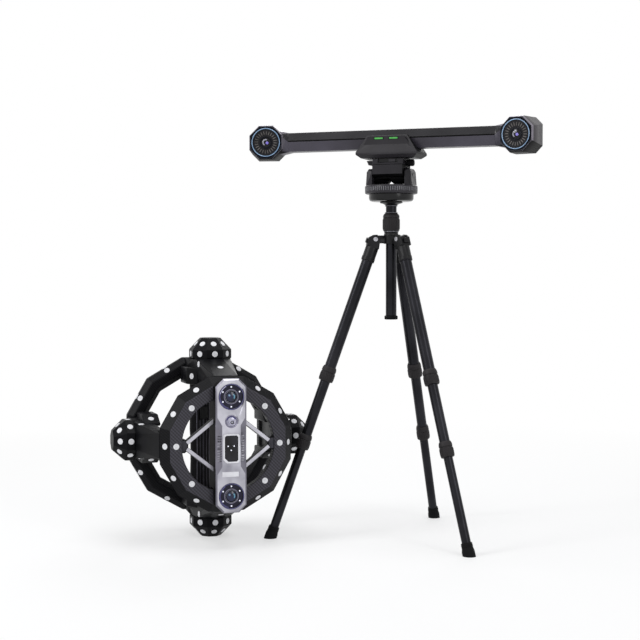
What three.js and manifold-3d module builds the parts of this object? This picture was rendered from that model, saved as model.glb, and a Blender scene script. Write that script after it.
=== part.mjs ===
// Optical 3-D scanner set in millimetres, +Z up: a hand-held scanner in a marker cage, and the two-camera
// tracker that follows it, on a three-legged stand. The tracker looks along -Y and its bar lies along X.
import * as THREE from "three";
import { ConvexGeometry } from "three/addons/geometries/ConvexGeometry.js";
import { mergeVertices } from "three/addons/utils/BufferGeometryUtils.js";
import Module from "manifold-3d";

const wasm = await Module();
wasm.setup();

const DEG = Math.PI / 180;
const HALF_TURN = Math.PI;
const QUARTER_TURN = Math.PI / 2;

// Shared sizes
const SEAT_GAP = 0.3; // between two pieces that seat on or in each other
const RUNNING_GAP = 0.3; // between a tube and what slides or turns round it
const CUT_OVERRUN = 2; // how far a cutter runs past the face that it opens
const ROUND_SIDES = 16;
const FINE_SIDES = 30;
const MERGE_SHARE = 1e-6;

// Stand
const HINGE_RADIUS = 33.2;
const LEG_SPREAD = 19.4 * DEG;
const REAR_LEG_TURN = 84 * DEG;
const LEG_NAMES = ["rear", "left", "right"];

// Leg hinge
const LUG_THICKNESS = 12;
const LUG_END_RADIUS = 8;
const EAR_THICKNESS = 5.6;
const EAR_RADIUS = 10;
const PIN_RADIUS = 4;
const PIN_HEAD_RADIUS = 6;
const PIN_HEAD_THICKNESS = 1.6;

// Leg crown, distances measured down the leg from its hinge
const CROWN_SLOT_DEPTH = 13;
const CROWN_SHOULDER = 17;
const CROWN_LENGTH = 46;
const CROWN_WALL = 1.4;
const CROWN_RIM = 7;
const CROWN_RIM_PROUD = 0.5;
const SOCKET_DEPTH = 24;
const STOP_LENGTH = 9;
const STOP_HEIGHT = 9;
const STOP_LIP = 2;

// Leg tubes
const UPPER_TUBE_RADIUS = 11.6;
const TUBE_WALL = 1;
const UPPER_TUBE_SHOWS = 229;
const MIDDLE_TUBE_SHOWS = 115;
const LOWER_TUBE_SHOWS = 168;
const MIDDLE_TUBE_HIDDEN = 110;
const LOWER_TUBE_HIDDEN = 60;

// Twist locks
const LOCK_LENGTH = 31;
const LOCK_SEAT = 11;
const LOCK_WALL = 3;
const LOCK_CHAMFER = 5;
const LOCK_GROOVE = 0.9;
const LOCK_FLUTES = 8;
const LOCK_FLUTE_RADIUS = 1.5;

// Foot
const FOOT_HEIGHT = 25.66; // from its top edge to the floor, along the leg
const FOOT_GRIP = 14;
const FOOT_WALL = 1.6;
const FOOT_FLARE = 1.7;
const FOOT_NECK = 7;

// Centre column, heights measured from the leg hinge
const COLUMN_RADIUS = 11;
const COLUMN_WALL = 1.8;
const COLUMN_TOP = 69.6;
const COLUMN_BOTTOM = -155;
const HUB_RADIUS = 15.5;
const HUB_BELOW = 9;
const HUB_ABOVE = 7;
const HUB_RING_RADIUS = 14.6;
const HUB_RING_TOP = 17;
const HUB_RING_GROOVE = 1;
const COLLAR_LENGTH = 36;
const COLLAR_RADIUS = 17;
const COLLAR_CHAMFER = 5;
const CAP_RADIUS = 13.6;
const CAP_THICKNESS = 8;
const SPIGOT_LENGTH = 14;
const PLATE_RADIUS = 23;
const PLATE_NECK_RADIUS = 13.2;
const PLATE_THICKNESS = 7;

// Pan and tilt head
const PAN_BASE_RADIUS = 45.5;
const PAN_BASE_HEIGHT = 14.7;
const PAN_BASE_CHAMFER = 4;
const DIAL_RADIUS = 53.5;
const DIAL_HEIGHT = 17;
const DIAL_CHAMFER = 2;
const CHEEK_THICKNESS = 15;
const CHEEK_DEPTH = 46;
const CHEEK_HEIGHT = 34;
const CHEEK_TAPER = 3;
const TILT_ABOVE_DIAL = 20;
const CRADLE_WIDTH = 64;
const CRADLE_DEPTH = 58;
const CRADLE_BELOW_AXIS = 2;
const CRADLE_ABOVE_AXIS = 21.5;
const CRADLE_CHAMFER = 4;
const DRUM_RADIUS = 17;
const DRUM_NOTCH_WIDTH = 7;
const DRUM_NOTCH_ROOF = 2;
const AXLE_RADIUS = 5;
const CHEEK_FACE_GAP = 2;

// Quick-release clamp
const CLAMP_WIDTH = 64;
const CLAMP_DEPTH = 54;
const CLAMP_FLOOR = 4;
const JAW_HEIGHT = 7.6;
const GROOVE_MOUTH = 38;
const GROOVE_UNDERCUT = 2;
const LEVEL_LUG_LENGTH = 17;
const LEVEL_LUG_DEPTH = 24;
const LEVEL_LUG_DROP = 2.5;
const CLAMP_KNOB_RADIUS = 7;
const CLAMP_KNOB_LENGTH = 16;
const CLAMP_KNOB_FLUTES = 8;
const CLAMP_KNOB_FLUTE_RADIUS = 1.4;
const CLAMP_ROD_RADIUS = 2.4;
const CLAMP_ROD_INSET = 8;
const CLAMP_KNOB_DROP = 7.6;
const PLATE_DEPTH = 50;
const PLATE_RISE = 8.2;

// Tracker
const LENS_SPACING = 540;
const TOE_IN = 13 * DEG;
const BAR_HEIGHT = 39;
const BAR_DEPTH = 42;
const BAR_CREASE_RISE = 1.5;
const BAR_TOP_SHARE = 0.64; // of the bar's depth, and so the next
const BAR_FOOT_SHARE = 0.74;
const BAR_GROOVE_WIDTH = 2;
const BAR_GROOVE_DEPTH = 1.2;
const HOUSING_TOP_WIDTH = 84;
const HOUSING_WIDTH = 129;
const HOUSING_FOOT_WIDTH = 111;
const HOUSING_TOP_DEPTH = 62;
const HOUSING_DEPTH = 76;
const HOUSING_FOOT_DEPTH = 58;
const HOUSING_ABOVE_BAR_AXIS = 6.4;
const HOUSING_WAIST_BELOW = 27;
const HOUSING_BAND = 5; // the upright band round the waist
const HOUSING_BOTTOM_BELOW = 39;
const HEAD_RADIUS = 35.5;
const HEAD_FRONT = 33;
const HEAD_BACK = 21;
const HEAD_EDGE = 5;
const HEAD_FRONT_CORNER_SHARE = 0.586; // of the half height, cut off each corner
const HEAD_BACK_CORNER_SHARE = 0.4;
const NECK_REACH = 52;
const NECK_SOCKET = 9;
const NECK_WALL = 2.4;
const LIGHT_LENGTH = 18.5;
const LIGHT_HEIGHT = 3.4;
const LIGHT_SPACING = 31;
const LIGHT_DEPTH = 2.4;
const LIGHT_STRIP_DEPTH = 1.2;
const LIGHT_BELOW_TOP = 6.4;

// Tracker lens cells
const CELL_RADIUS = 30.4;
const CELL_DEPTH = 13;
const CELL_RIM = 2.2;
const CELL_RIM_PROUD = 1.2;
const LIGHT_RING_DROP = 1.6;
const BARREL_RADIUS = 12.5;
const BARREL_WALL = 2;
const GLASS_DROP = 1.4;
const GLASS_CROWN = 1.6;

// Hand-held scanner: its origin is the cage's centre, it looks along its own -Y
const SCANNER_LEFT_OF_STAND = 355;
const SCANNER_BEFORE_STAND = 110;
const SCANNER_TURN = 38 * DEG;
const KNOB_TIP = 204;
const KNOB_HEIGHT = 43.4;
const KNOB_RADIUS = 40.6;
const KNOB_TIP_RADIUS = 19.6;
const KNOB_WALL_HEIGHT = 19.6;
const KNOB_UNDERCUT = 2.1;
const KNOB_UNDERCUT_HEIGHT = 3;
const KNOB_SIDES = 8;
const CAGE_SIDES = 12;
const RING_FACE = 150; // from the cage's centre plane forward to the ring's face
const RING_THICKNESS = 20;
const RING_FRONT_APOTHEM = 116;
const RING_BACK_APOTHEM = 134;
const RING_OPENING_RADIUS = 93;
const REAR_FRAME_BEHIND = 57;
const REAR_FRAME_THICKNESS = 34;
const REAR_FRAME_APOTHEM = 160;
const REAR_FRAME_WIDTH = 37;
const REAR_FRAME_CHAMFER = 11;
const SPOKE_KNOB_RADIUS = 37.5;
const SPOKE_INNER_RADIUS = 112;
const SPOKE_FRONT_HALF_WIDTH = 24;
const SPOKE_REAR_HALF_WIDTH = 39;
const BRACE_WIDTH = 8;
const BRACE_THICKNESS = 15;
const BRACE_SETBACK = 3;
const BRACE_END_RISE = 50;
const BOSS_WIDTH = 13;
const BOSS_HEIGHT = 27;

// Scanner camera unit
const SHELL_WIDTH = 62;
const SHELL_HEIGHT = 262;
const SHELL_DEPTH = 21.7;
const SHELL_CORNER = 15;
const SHELL_BEVEL = 3;
const SHELL_PROUD = 22; // the shell's front, measured forward from the ring's face
const WAIST_WIDTH = 37;
const WAIST_DROP = 6;
const WAIST_HALF_HEIGHT = 40;
const WAIST_RUNOUT = 24;
const VENT_COUNT = 11;
const VENT_PITCH = 4.8;
const VENT_HEIGHT = 2;
const VENT_DEPTH = 1.6;
const VENT_LENGTH = 7;
const UNIT_BACK_WIDTH = 52;
const UNIT_BACK_IN_RING = 1.2; // from the back's corners out to the ring's opening
const UNIT_BACK_DEPTH = 58;
const UNIT_BACK_CHAMFER = 6;
const SCANNER_LENS_SPACING = 194;
const SCANNER_LENS_LOWERED = 1;
const SCANNER_CELL_RADIUS = 25.6;
const SCANNER_CELL_DEPTH = 9;
const SCANNER_BARREL_RADIUS = 12.4;
const LASER_RADIUS = 12.6;
const LASER_RAISED = 48;
const LASER_DEPTH = 8;
const WINDOW_WIDTH = 33;
const WINDOW_HEIGHT = 57;
const WINDOW_CORNER = 7;
const WINDOW_FRAME = 3;
const WINDOW_DEPTH = 5;
const WINDOW_GLASS_DROP = 1.2;
const WINDOW_LOWERED = 5;

// Scanner grip
const GRIP_BEHIND = 78;
const GRIP_HALF_WIDTH = 25;
const GRIP_END_HALF_WIDTH = 28;
const GRIP_DEPTH_SHARE = 0.68;
const GRIP_SWELL = 2;
const GRIP_FLARE_LENGTH = 24;
const TRIGGER_WIDTH = 15;
const TRIGGER_HEIGHT = 26;
const TRIGGER_PROUD = 4.5;
const TRIGGER_ROOM = 5.5;
const TRIGGER_DEPTH = 7;
const TRIGGER_RAISED = 44;

// Materials
const finish = (color, roughness, metalness) => new THREE.MeshStandardMaterial({ color, roughness, metalness });
const blackCasting = finish(0x1c1c1f, 0.55, 0.3);
const blackTube = finish(0x202124, 0.35, 0.4);
const rubber = finish(0x17171a, 0.9, 0);
const bareSteel = finish(0xc8c8cc, 0.3, 1);
const headGrey = finish(0x3c3b3f, 0.5, 0.4);
const trackerGrey = finish(0x36353a, 0.45, 0.3);
const lensGlass = finish(0x10121c, 0.1, 0);
const statusGreen = finish(0x2fc24a, 0.4, 0);
const cageBlack = finish(0x18181b, 0.5, 0.1);
const silverShell = finish(0xb6b4be, 0.35, 0.7);

// A closed geometry as a solid, and back
function solidOf(geometry) {
  const bare = geometry.index ? geometry.toNonIndexed() : geometry.clone();
  bare.deleteAttribute("normal");
  bare.deleteAttribute("uv");
  bare.computeBoundingSphere();
  const merged = mergeVertices(bare, bare.boundingSphere.radius * MERGE_SHARE);
  return new wasm.Manifold(
    new wasm.Mesh({
      numProp: 3,
      vertProperties: merged.attributes.position.array,
      triVerts: new Uint32Array(merged.index.array),
    }),
  );
}

function geometryOf(solid) {
  const { vertProperties, triVerts } = solid.getMesh();
  const geometry = new THREE.BufferGeometry();
  geometry.setAttribute("position", new THREE.BufferAttribute(Float32Array.from(vertProperties), 3));
  geometry.setIndex(new THREE.BufferAttribute(Uint32Array.from(triVerts), 1));
  const faceted = geometry.toNonIndexed();
  faceted.computeVertexNormals();
  return faceted;
}

function piece(name, shape, material) {
  const geometry = shape.isBufferGeometry ? shape : geometryOf(shape);
  const mesh = new THREE.Mesh(geometry, material);
  mesh.name = name;
  return mesh;
}

// A body of revolution about Z, or about Y when its axis is "y", from [radius, height] pairs
function turned(profile, sides = ROUND_SIDES, axis = "z", firstSide = 0) {
  const points = profile.map(([r, z]) => new THREE.Vector2(r, z));
  if (THREE.ShapeUtils.area(points) < 0) points.reverse();
  if (profile[0][0] > 0) points.push(points[0].clone());
  const geometry = new THREE.LatheGeometry(points, sides, firstSide, 2 * Math.PI);
  return axis === "z" ? geometry.rotateX(QUARTER_TURN) : geometry;
}

// A box from its lowest and highest corners
function block([x0, y0, z0], [x1, y1, z1]) {
  return new THREE.BoxGeometry(x1 - x0, y1 - y0, z1 - z0).translate((x0 + x1) / 2, (y0 + y1) / 2, (z0 + z1) / 2);
}

// An outline in X and Z, drawn out along Y from yFront to yBack
function slab(outline, yFront, yBack) {
  const shape = new THREE.Shape(outline.map(([x, z]) => new THREE.Vector2(x, z)));
  const geometry = new THREE.ExtrudeGeometry(shape, { depth: yBack - yFront, bevelEnabled: false, steps: 1 });
  return geometry.rotateX(QUARTER_TURN).translate(0, yBack, 0);
}

const hull = (points) => new ConvexGeometry(points.map((p) => new THREE.Vector3(...p)));
const rod = (radius, length, sides = ROUND_SIDES) => new THREE.CylinderGeometry(radius, radius, length, sides);
const rodX = (radius, length, sides) => rod(radius, length, sides).rotateZ(QUARTER_TURN);
const rodZ = (radius, length, sides) => rod(radius, length, sides).rotateX(QUARTER_TURN);
const joined = (...shapes) => shapes.map(solidOf).reduce((whole, part) => whole.add(part));
const cut = (whole, ...cutters) => cutters.map(solidOf).reduce((rest, cutter) => rest.subtract(cutter), whole);
const mirrorPairs = (values) => values.flatMap((v) => [-v, v]);

// Stations down a leg, from its hinge
const upperTubeStart = CROWN_LENGTH - SOCKET_DEPTH + SEAT_GAP;
const upperLockStart = CROWN_LENGTH + UPPER_TUBE_SHOWS;
const upperLockEnd = upperLockStart + LOCK_LENGTH;
const upperTubeEnd = upperLockStart + LOCK_SEAT;
const lowerLockStart = upperLockEnd + MIDDLE_TUBE_SHOWS;
const lowerLockEnd = lowerLockStart + LOCK_LENGTH;
const middleTubeEnd = lowerLockStart + LOCK_SEAT;
const footStart = lowerLockEnd + LOWER_TUBE_SHOWS;
const lowerTubeEnd = footStart + FOOT_GRIP;
const floorAlongLeg = footStart + FOOT_HEIGHT;
const hingeHeight = floorAlongLeg * Math.cos(LEG_SPREAD);
const middleTubeRadius = UPPER_TUBE_RADIUS - TUBE_WALL - RUNNING_GAP;
const lowerTubeRadius = middleTubeRadius - TUBE_WALL - RUNNING_GAP;
const lugHalf = LUG_THICKNESS / 2;
const slotHalf = lugHalf + RUNNING_GAP;
const earOutside = slotHalf + EAR_THICKNESS;
const crownRadius = UPPER_TUBE_RADIUS + SEAT_GAP + CROWN_WALL;

function tube(radius, wall, start, end) {
  const inner = radius - wall;
  return turned([[inner, -end], [radius, -end], [radius, -start], [inner, -start]]);
}

function legCrown() {
  const ears = slab(
    [
      [-EAR_RADIUS, 0],
      [-EAR_RADIUS / Math.SQRT2, EAR_RADIUS / Math.SQRT2],
      [0, EAR_RADIUS],
      [EAR_RADIUS / Math.SQRT2, EAR_RADIUS / Math.SQRT2],
      [crownRadius, 0],
      [crownRadius, -CROWN_SHOULDER],
      [-crownRadius, -CROWN_SHOULDER],
    ].reverse(),
    -earOutside,
    earOutside,
  );
  const rimRadius = crownRadius + CROWN_RIM_PROUD;
  const socket = turned([
    [0, -CROWN_LENGTH],
    [rimRadius, -CROWN_LENGTH],
    [rimRadius, CROWN_RIM - CROWN_LENGTH],
    [crownRadius, CROWN_RIM - CROWN_LENGTH + CROWN_RIM_PROUD],
    [crownRadius, -CROWN_SHOULDER],
    [0, -CROWN_SHOULDER],
  ]);
  const slot = block(
    [-crownRadius - CUT_OVERRUN, -slotHalf, -CROWN_SLOT_DEPTH],
    [crownRadius + CUT_OVERRUN, slotHalf, EAR_RADIUS + CUT_OVERRUN],
  );
  const tubeBore = rodZ(UPPER_TUBE_RADIUS + SEAT_GAP, SOCKET_DEPTH + CUT_OVERRUN, ROUND_SIDES).translate(
    0,
    0,
    (SOCKET_DEPTH - CUT_OVERRUN) / 2 - CROWN_LENGTH,
  );
  const pinBore = rod(PIN_RADIUS + SEAT_GAP, 2 * (earOutside + CUT_OVERRUN));
  return cut(joined(ears, socket), slot, tubeBore, pinBore);
}

function hingePin() {
  const headFace = earOutside + SEAT_GAP;
  const end = headFace + PIN_HEAD_THICKNESS;
  return turned(
    [
      [0, -end],
      [PIN_HEAD_RADIUS, -end],
      [PIN_HEAD_RADIUS, -headFace],
      [PIN_RADIUS, -headFace],
      [PIN_RADIUS, headFace],
      [PIN_HEAD_RADIUS, headFace],
      [PIN_HEAD_RADIUS, end],
      [0, end],
    ],
    ROUND_SIDES,
    "y",
  );
}

// The tab that keeps the leg at its angle: it bears on the lug's round end and pulls outwards
function angleStop() {
  const inside = LUG_END_RADIUS + SEAT_GAP;
  const outside = inside + STOP_LENGTH;
  const half = slotHalf - SEAT_GAP;
  const floor = SEAT_GAP - CROWN_SLOT_DEPTH;
  const top = floor + STOP_HEIGHT;
  return slab(
    [
      [inside, floor],
      [outside - STOP_LIP, floor],
      [outside, floor + STOP_LIP],
      [outside, top + STOP_LIP],
      [outside - STOP_LIP, top + STOP_LIP],
      [outside - STOP_LIP, top],
      [inside, top],
    ],
    -half,
    half,
  );
}

// A twist lock: its upper seat holds the wider tube's end, and the narrower tube runs through it
function twistLock(widerRadius, narrowerRadius, start) {
  const seat = widerRadius + SEAT_GAP;
  const bore = narrowerRadius + RUNNING_GAP;
  const outer = seat + LOCK_WALL;
  const end = start + LOCK_LENGTH;
  const step = start + LOCK_SEAT + SEAT_GAP;
  const body = turned([
    [bore, -end],
    [outer - LOCK_GROOVE, -end],
    [outer, LOCK_GROOVE - end],
    [outer, -step - LOCK_GROOVE],
    [outer - LOCK_GROOVE, -step],
    [outer, LOCK_GROOVE - step],
    [outer, -start - LOCK_CHAMFER],
    [seat + LOCK_GROOVE, -start],
    [seat, -start],
    [seat, -step],
    [bore, -step],
  ]);
  const fluteLength = end - step - 2 * LOCK_GROOVE;
  const flutes = Array.from({ length: LOCK_FLUTES }, (_, i) =>
    rodZ(LOCK_FLUTE_RADIUS, fluteLength, 6)
      .translate(outer + LOCK_FLUTE_RADIUS / 3, 0, -(end + step) / 2)
      .rotateZ((i * 2 * Math.PI) / LOCK_FLUTES),
  );
  return cut(solidOf(body), ...flutes);
}

// A rubber foot whose sole is cut level with the floor
function foot() {
  const bore = lowerTubeRadius + SEAT_GAP;
  const neck = bore + FOOT_WALL;
  const seat = lowerTubeEnd + SEAT_GAP;
  const below = floorAlongLeg + 2 * FOOT_NECK;
  const body = turned([
    [0, -below],
    [neck + FOOT_FLARE, -below],
    [neck + FOOT_FLARE, -footStart - 2 * FOOT_NECK],
    [neck, -footStart - FOOT_NECK],
    [neck, -footStart],
    [bore, -footStart],
    [bore, -seat],
    [0, -seat],
  ]);
  return solidOf(body).trimByPlane([Math.sin(LEG_SPREAD), 0, Math.cos(LEG_SPREAD)], -hingeHeight);
}

function leg(name) {
  const group = new THREE.Group();
  group.position.set(HINGE_RADIUS, 0, hingeHeight);
  group.rotation.y = -LEG_SPREAD;
  const middleStart = upperLockEnd - MIDDLE_TUBE_HIDDEN;
  const lowerStart = lowerLockEnd - LOWER_TUBE_HIDDEN;
  group.add(
    piece(`leg_${name}_crown`, legCrown(), blackCasting),
    piece(`leg_${name}_pin`, hingePin(), bareSteel),
    piece(`leg_${name}_angle_stop`, angleStop(), blackCasting),
    piece(`leg_${name}_upper_tube`, tube(UPPER_TUBE_RADIUS, TUBE_WALL, upperTubeStart, upperTubeEnd), blackTube),
    piece(`leg_${name}_upper_lock`, twistLock(UPPER_TUBE_RADIUS, middleTubeRadius, upperLockStart), rubber),
    piece(`leg_${name}_middle_tube`, tube(middleTubeRadius, TUBE_WALL, middleStart, middleTubeEnd), blackTube),
    piece(`leg_${name}_lower_lock`, twistLock(middleTubeRadius, lowerTubeRadius, lowerLockStart), rubber),
    piece(`leg_${name}_lower_tube`, tube(lowerTubeRadius, TUBE_WALL, lowerStart, lowerTubeEnd), blackTube),
    piece(`leg_${name}_foot`, foot(), rubber),
  );
  const turn = new THREE.Group();
  turn.rotation.z = REAR_LEG_TURN + (LEG_NAMES.indexOf(name) * 2 * Math.PI) / LEG_NAMES.length;
  turn.add(group);
  return turn;
}

// The hub that carries the column and the three leg hinges
function spider() {
  const lugs = LEG_NAMES.map((_, i) =>
    solidOf(block([0, -lugHalf, -LUG_END_RADIUS], [HINGE_RADIUS, lugHalf, LUG_END_RADIUS]))
      .add(solidOf(rod(LUG_END_RADIUS, LUG_THICKNESS).translate(HINGE_RADIUS, 0, 0)))
      .subtract(solidOf(rod(PIN_RADIUS + SEAT_GAP, LUG_THICKNESS + CUT_OVERRUN).translate(HINGE_RADIUS, 0, 0)))
      .rotate([0, 0, (REAR_LEG_TURN + (i * 2 * Math.PI) / LEG_NAMES.length) / DEG]),
  );
  const hub = solidOf(
    turned([
      [0, -HUB_BELOW],
      [HUB_RADIUS, -HUB_BELOW],
      [HUB_RADIUS, HUB_ABOVE],
      [HUB_RING_RADIUS, HUB_ABOVE + HUB_RING_GROOVE],
      [HUB_RING_RADIUS, (HUB_ABOVE + HUB_RING_TOP) / 2],
      [HUB_RING_RADIUS - HUB_RING_GROOVE, (HUB_ABOVE + HUB_RING_TOP) / 2 + HUB_RING_GROOVE],
      [HUB_RING_RADIUS, (HUB_ABOVE + HUB_RING_TOP) / 2 + 2 * HUB_RING_GROOVE],
      [HUB_RING_RADIUS, HUB_RING_TOP],
      [0, HUB_RING_TOP],
    ]),
  );
  const whole = lugs.reduce((sum, lug) => sum.add(lug), hub);
  return cut(whole, rodZ(COLUMN_RADIUS + RUNNING_GAP, 2 * (HUB_RING_TOP + CUT_OVERRUN), ROUND_SIDES));
}

function columnParts() {
  const bore = COLUMN_RADIUS + RUNNING_GAP;
  const collarBottom = HUB_RING_TOP + SEAT_GAP;
  const collarTop = collarBottom + COLLAR_LENGTH;
  const groove = collarTop - 2 * COLLAR_CHAMFER;
  const collar = turned([
    [bore, collarBottom],
    [COLLAR_RADIUS - LOCK_GROOVE, collarBottom],
    [COLLAR_RADIUS, collarBottom + LOCK_GROOVE],
    [COLLAR_RADIUS, groove - LOCK_GROOVE],
    [COLLAR_RADIUS - LOCK_GROOVE, groove],
    [COLLAR_RADIUS, groove + LOCK_GROOVE],
    [COLLAR_RADIUS - LOCK_GROOVE, collarTop - COLLAR_CHAMFER],
    [bore + LOCK_GROOVE, collarTop],
    [bore, collarTop],
  ]);
  const spigot = COLUMN_RADIUS - COLUMN_WALL - SEAT_GAP;
  const plateBottom = COLUMN_TOP + SEAT_GAP;
  const plateTop = plateBottom + PLATE_THICKNESS;
  const plate = turned([
    [0, COLUMN_TOP - SPIGOT_LENGTH],
    [spigot, COLUMN_TOP - SPIGOT_LENGTH],
    [spigot, plateBottom],
    [PLATE_NECK_RADIUS, plateBottom],
    [PLATE_RADIUS, plateTop - PLATE_THICKNESS / 3],
    [PLATE_RADIUS, plateTop],
    [0, plateTop],
  ]);
  const capTop = COLUMN_BOTTOM - SEAT_GAP;
  const cap = turned([
    [0, capTop - CAP_THICKNESS],
    [CAP_RADIUS - LOCK_GROOVE, capTop - CAP_THICKNESS],
    [CAP_RADIUS, capTop - CAP_THICKNESS + LOCK_GROOVE],
    [CAP_RADIUS, capTop],
    [spigot, capTop],
    [spigot, COLUMN_BOTTOM + SPIGOT_LENGTH],
    [0, COLUMN_BOTTOM + SPIGOT_LENGTH],
  ]);
  return [
    piece("column_lock", collar, rubber),
    piece("centre_column", tube(COLUMN_RADIUS, COLUMN_WALL, -COLUMN_TOP, -COLUMN_BOTTOM), blackTube),
    piece("column_plate", plate, blackCasting),
    piece("column_cap", cap, rubber),
  ];
}

// Heights of the head, measured from the leg hinge
const panBaseBottom = COLUMN_TOP + 2 * SEAT_GAP + PLATE_THICKNESS;
const dialBottom = panBaseBottom + PAN_BASE_HEIGHT + SEAT_GAP;
const dialTop = dialBottom + DIAL_HEIGHT;
const tiltHeight = dialTop + TILT_ABOVE_DIAL;
const cradleTop = tiltHeight + CRADLE_ABOVE_AXIS;
const clampBottom = cradleTop + SEAT_GAP;
const grooveFloor = clampBottom + CLAMP_FLOOR;
const plateBottom = grooveFloor + SEAT_GAP;
const plateTop = plateBottom + PLATE_RISE;
const barAxisHeight = plateTop + SEAT_GAP + HOUSING_BOTTOM_BELOW;

function panBase() {
  const top = panBaseBottom + PAN_BASE_HEIGHT;
  return turned(
    [
      [0, panBaseBottom],
      [PAN_BASE_RADIUS - PAN_BASE_CHAMFER, panBaseBottom],
      [PAN_BASE_RADIUS, panBaseBottom + PAN_BASE_CHAMFER],
      [PAN_BASE_RADIUS, top],
      [0, top],
    ],
    FINE_SIDES,
  );
}

// The graduated dial and the two cheeks that carry the tilt axle
function panYoke() {
  const dial = turned(
    [
      [0, dialBottom],
      [DIAL_RADIUS - DIAL_CHAMFER, dialBottom],
      [DIAL_RADIUS, dialBottom + DIAL_CHAMFER],
      [DIAL_RADIUS, dialTop - DIAL_CHAMFER],
      [DIAL_RADIUS - DIAL_CHAMFER, dialTop],
      [0, dialTop],
    ],
    FINE_SIDES,
  );
  const cheekInside = CRADLE_WIDTH / 2 + CHEEK_FACE_GAP;
  const cheekOutside = cheekInside + CHEEK_THICKNESS;
  const cheekTop = dialTop + CHEEK_HEIGHT;
  const half = CHEEK_DEPTH / 2;
  const cheeks = [-1, 1].map((side) =>
    hull(
      [-1, 1].flatMap((end) => [
        [side * cheekInside, end * half, dialTop - DIAL_CHAMFER],
        [side * cheekOutside, end * (half - 2 * CHEEK_TAPER), dialTop - DIAL_CHAMFER],
        [side * (cheekOutside - CHEEK_TAPER), end * half, dialTop - DIAL_CHAMFER],
        [side * cheekInside, end * (half - 2 * CHEEK_TAPER), cheekTop],
        [side * (cheekOutside - 2 * CHEEK_TAPER), end * (half - 2 * CHEEK_TAPER), cheekTop],
        [side * (cheekOutside - CHEEK_TAPER), end * (half - CHEEK_TAPER), cheekTop - 2 * CHEEK_TAPER],
        [side * cheekInside, end * half, cheekTop - 2 * CHEEK_TAPER],
      ]),
    ),
  );
  const bosses = rodX(DRUM_RADIUS, 2 * (cheekInside + CUT_OVERRUN)).translate(0, 0, tiltHeight);
  const between = rodX(DRUM_RADIUS + CUT_OVERRUN, CRADLE_WIDTH + 2 * SEAT_GAP).translate(0, 0, tiltHeight);
  const bore = rodX(AXLE_RADIUS + SEAT_GAP, 2 * (cheekOutside + CUT_OVERRUN)).translate(0, 0, tiltHeight);
  const bossSolid = cut(solidOf(bosses), between);
  const whole = joined(dial, ...cheeks).add(bossSolid);
  return cut(whole, bore);
}

function tiltCradle() {
  const halfWidth = CRADLE_WIDTH / 2;
  const halfDepth = CRADLE_DEPTH / 2;
  const low = tiltHeight - CRADLE_BELOW_AXIS;
  const table = hull(
    mirrorPairs([halfWidth]).flatMap((x) => [
      [x, halfDepth, cradleTop],
      [x, -halfDepth, cradleTop],
      [x, halfDepth, low + CRADLE_CHAMFER],
      [x, -halfDepth, low + CRADLE_CHAMFER],
      [x, halfDepth - CRADLE_CHAMFER, low],
      [x, CRADLE_CHAMFER - halfDepth, low],
    ]),
  );
  const drum = rodX(DRUM_RADIUS, CRADLE_WIDTH).translate(0, 0, tiltHeight);
  const notch = slab(
    [
      [-DRUM_NOTCH_WIDTH, tiltHeight - DRUM_RADIUS - CUT_OVERRUN],
      [DRUM_NOTCH_WIDTH, tiltHeight - DRUM_RADIUS - CUT_OVERRUN],
      [CUT_OVERRUN / 2, tiltHeight - AXLE_RADIUS - DRUM_NOTCH_ROOF],
      [-CUT_OVERRUN / 2, tiltHeight - AXLE_RADIUS - DRUM_NOTCH_ROOF],
    ],
    -DRUM_RADIUS - CUT_OVERRUN,
    DRUM_RADIUS + CUT_OVERRUN,
  );
  const bore = rodX(AXLE_RADIUS + SEAT_GAP, CRADLE_WIDTH + CUT_OVERRUN).translate(0, 0, tiltHeight);
  return cut(joined(table, drum), notch, bore);
}

function tiltAxle() {
  const half = CRADLE_WIDTH / 2 + CHEEK_FACE_GAP + CHEEK_THICKNESS - CHEEK_TAPER - SEAT_GAP;
  return rodX(AXLE_RADIUS, 2 * half).translate(0, 0, tiltHeight);
}

// A dovetail section in X and Z, with its wide side down
function dovetail(mouth, undercut, bottom, top) {
  const half = mouth / 2;
  return [
    [-half - undercut, bottom],
    [half + undercut, bottom],
    [half, top],
    [-half, top],
  ];
}

function clampBody() {
  const half = CLAMP_WIDTH / 2;
  const halfDepth = CLAMP_DEPTH / 2;
  const top = grooveFloor + JAW_HEIGHT;
  const body = block([-half, -halfDepth, clampBottom], [half, halfDepth, top]);
  const lug = hull(
    mirrorPairs([LEVEL_LUG_DEPTH / 2]).flatMap((y) => [
      [-half, y, clampBottom],
      [-half, y, top - LEVEL_LUG_DROP],
      [-half - LEVEL_LUG_LENGTH, y, top - LEVEL_LUG_DROP],
      [-half - LEVEL_LUG_LENGTH + CRADLE_CHAMFER, y, clampBottom],
    ]),
  );
  const closing = (GROOVE_UNDERCUT * CUT_OVERRUN) / JAW_HEIGHT;
  const groove = slab(
    dovetail(GROOVE_MOUTH - 2 * closing, GROOVE_UNDERCUT + closing, grooveFloor, top + CUT_OVERRUN),
    -halfDepth - CUT_OVERRUN,
    halfDepth + CUT_OVERRUN,
  );
  const rodBore = rodX(CLAMP_ROD_RADIUS + SEAT_GAP, CLAMP_ROD_INSET + CUT_OVERRUN).translate(
    half + (CUT_OVERRUN - CLAMP_ROD_INSET) / 2,
    0,
    top - CLAMP_KNOB_DROP,
  );
  return cut(joined(body, lug), groove, rodBore);
}

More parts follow.
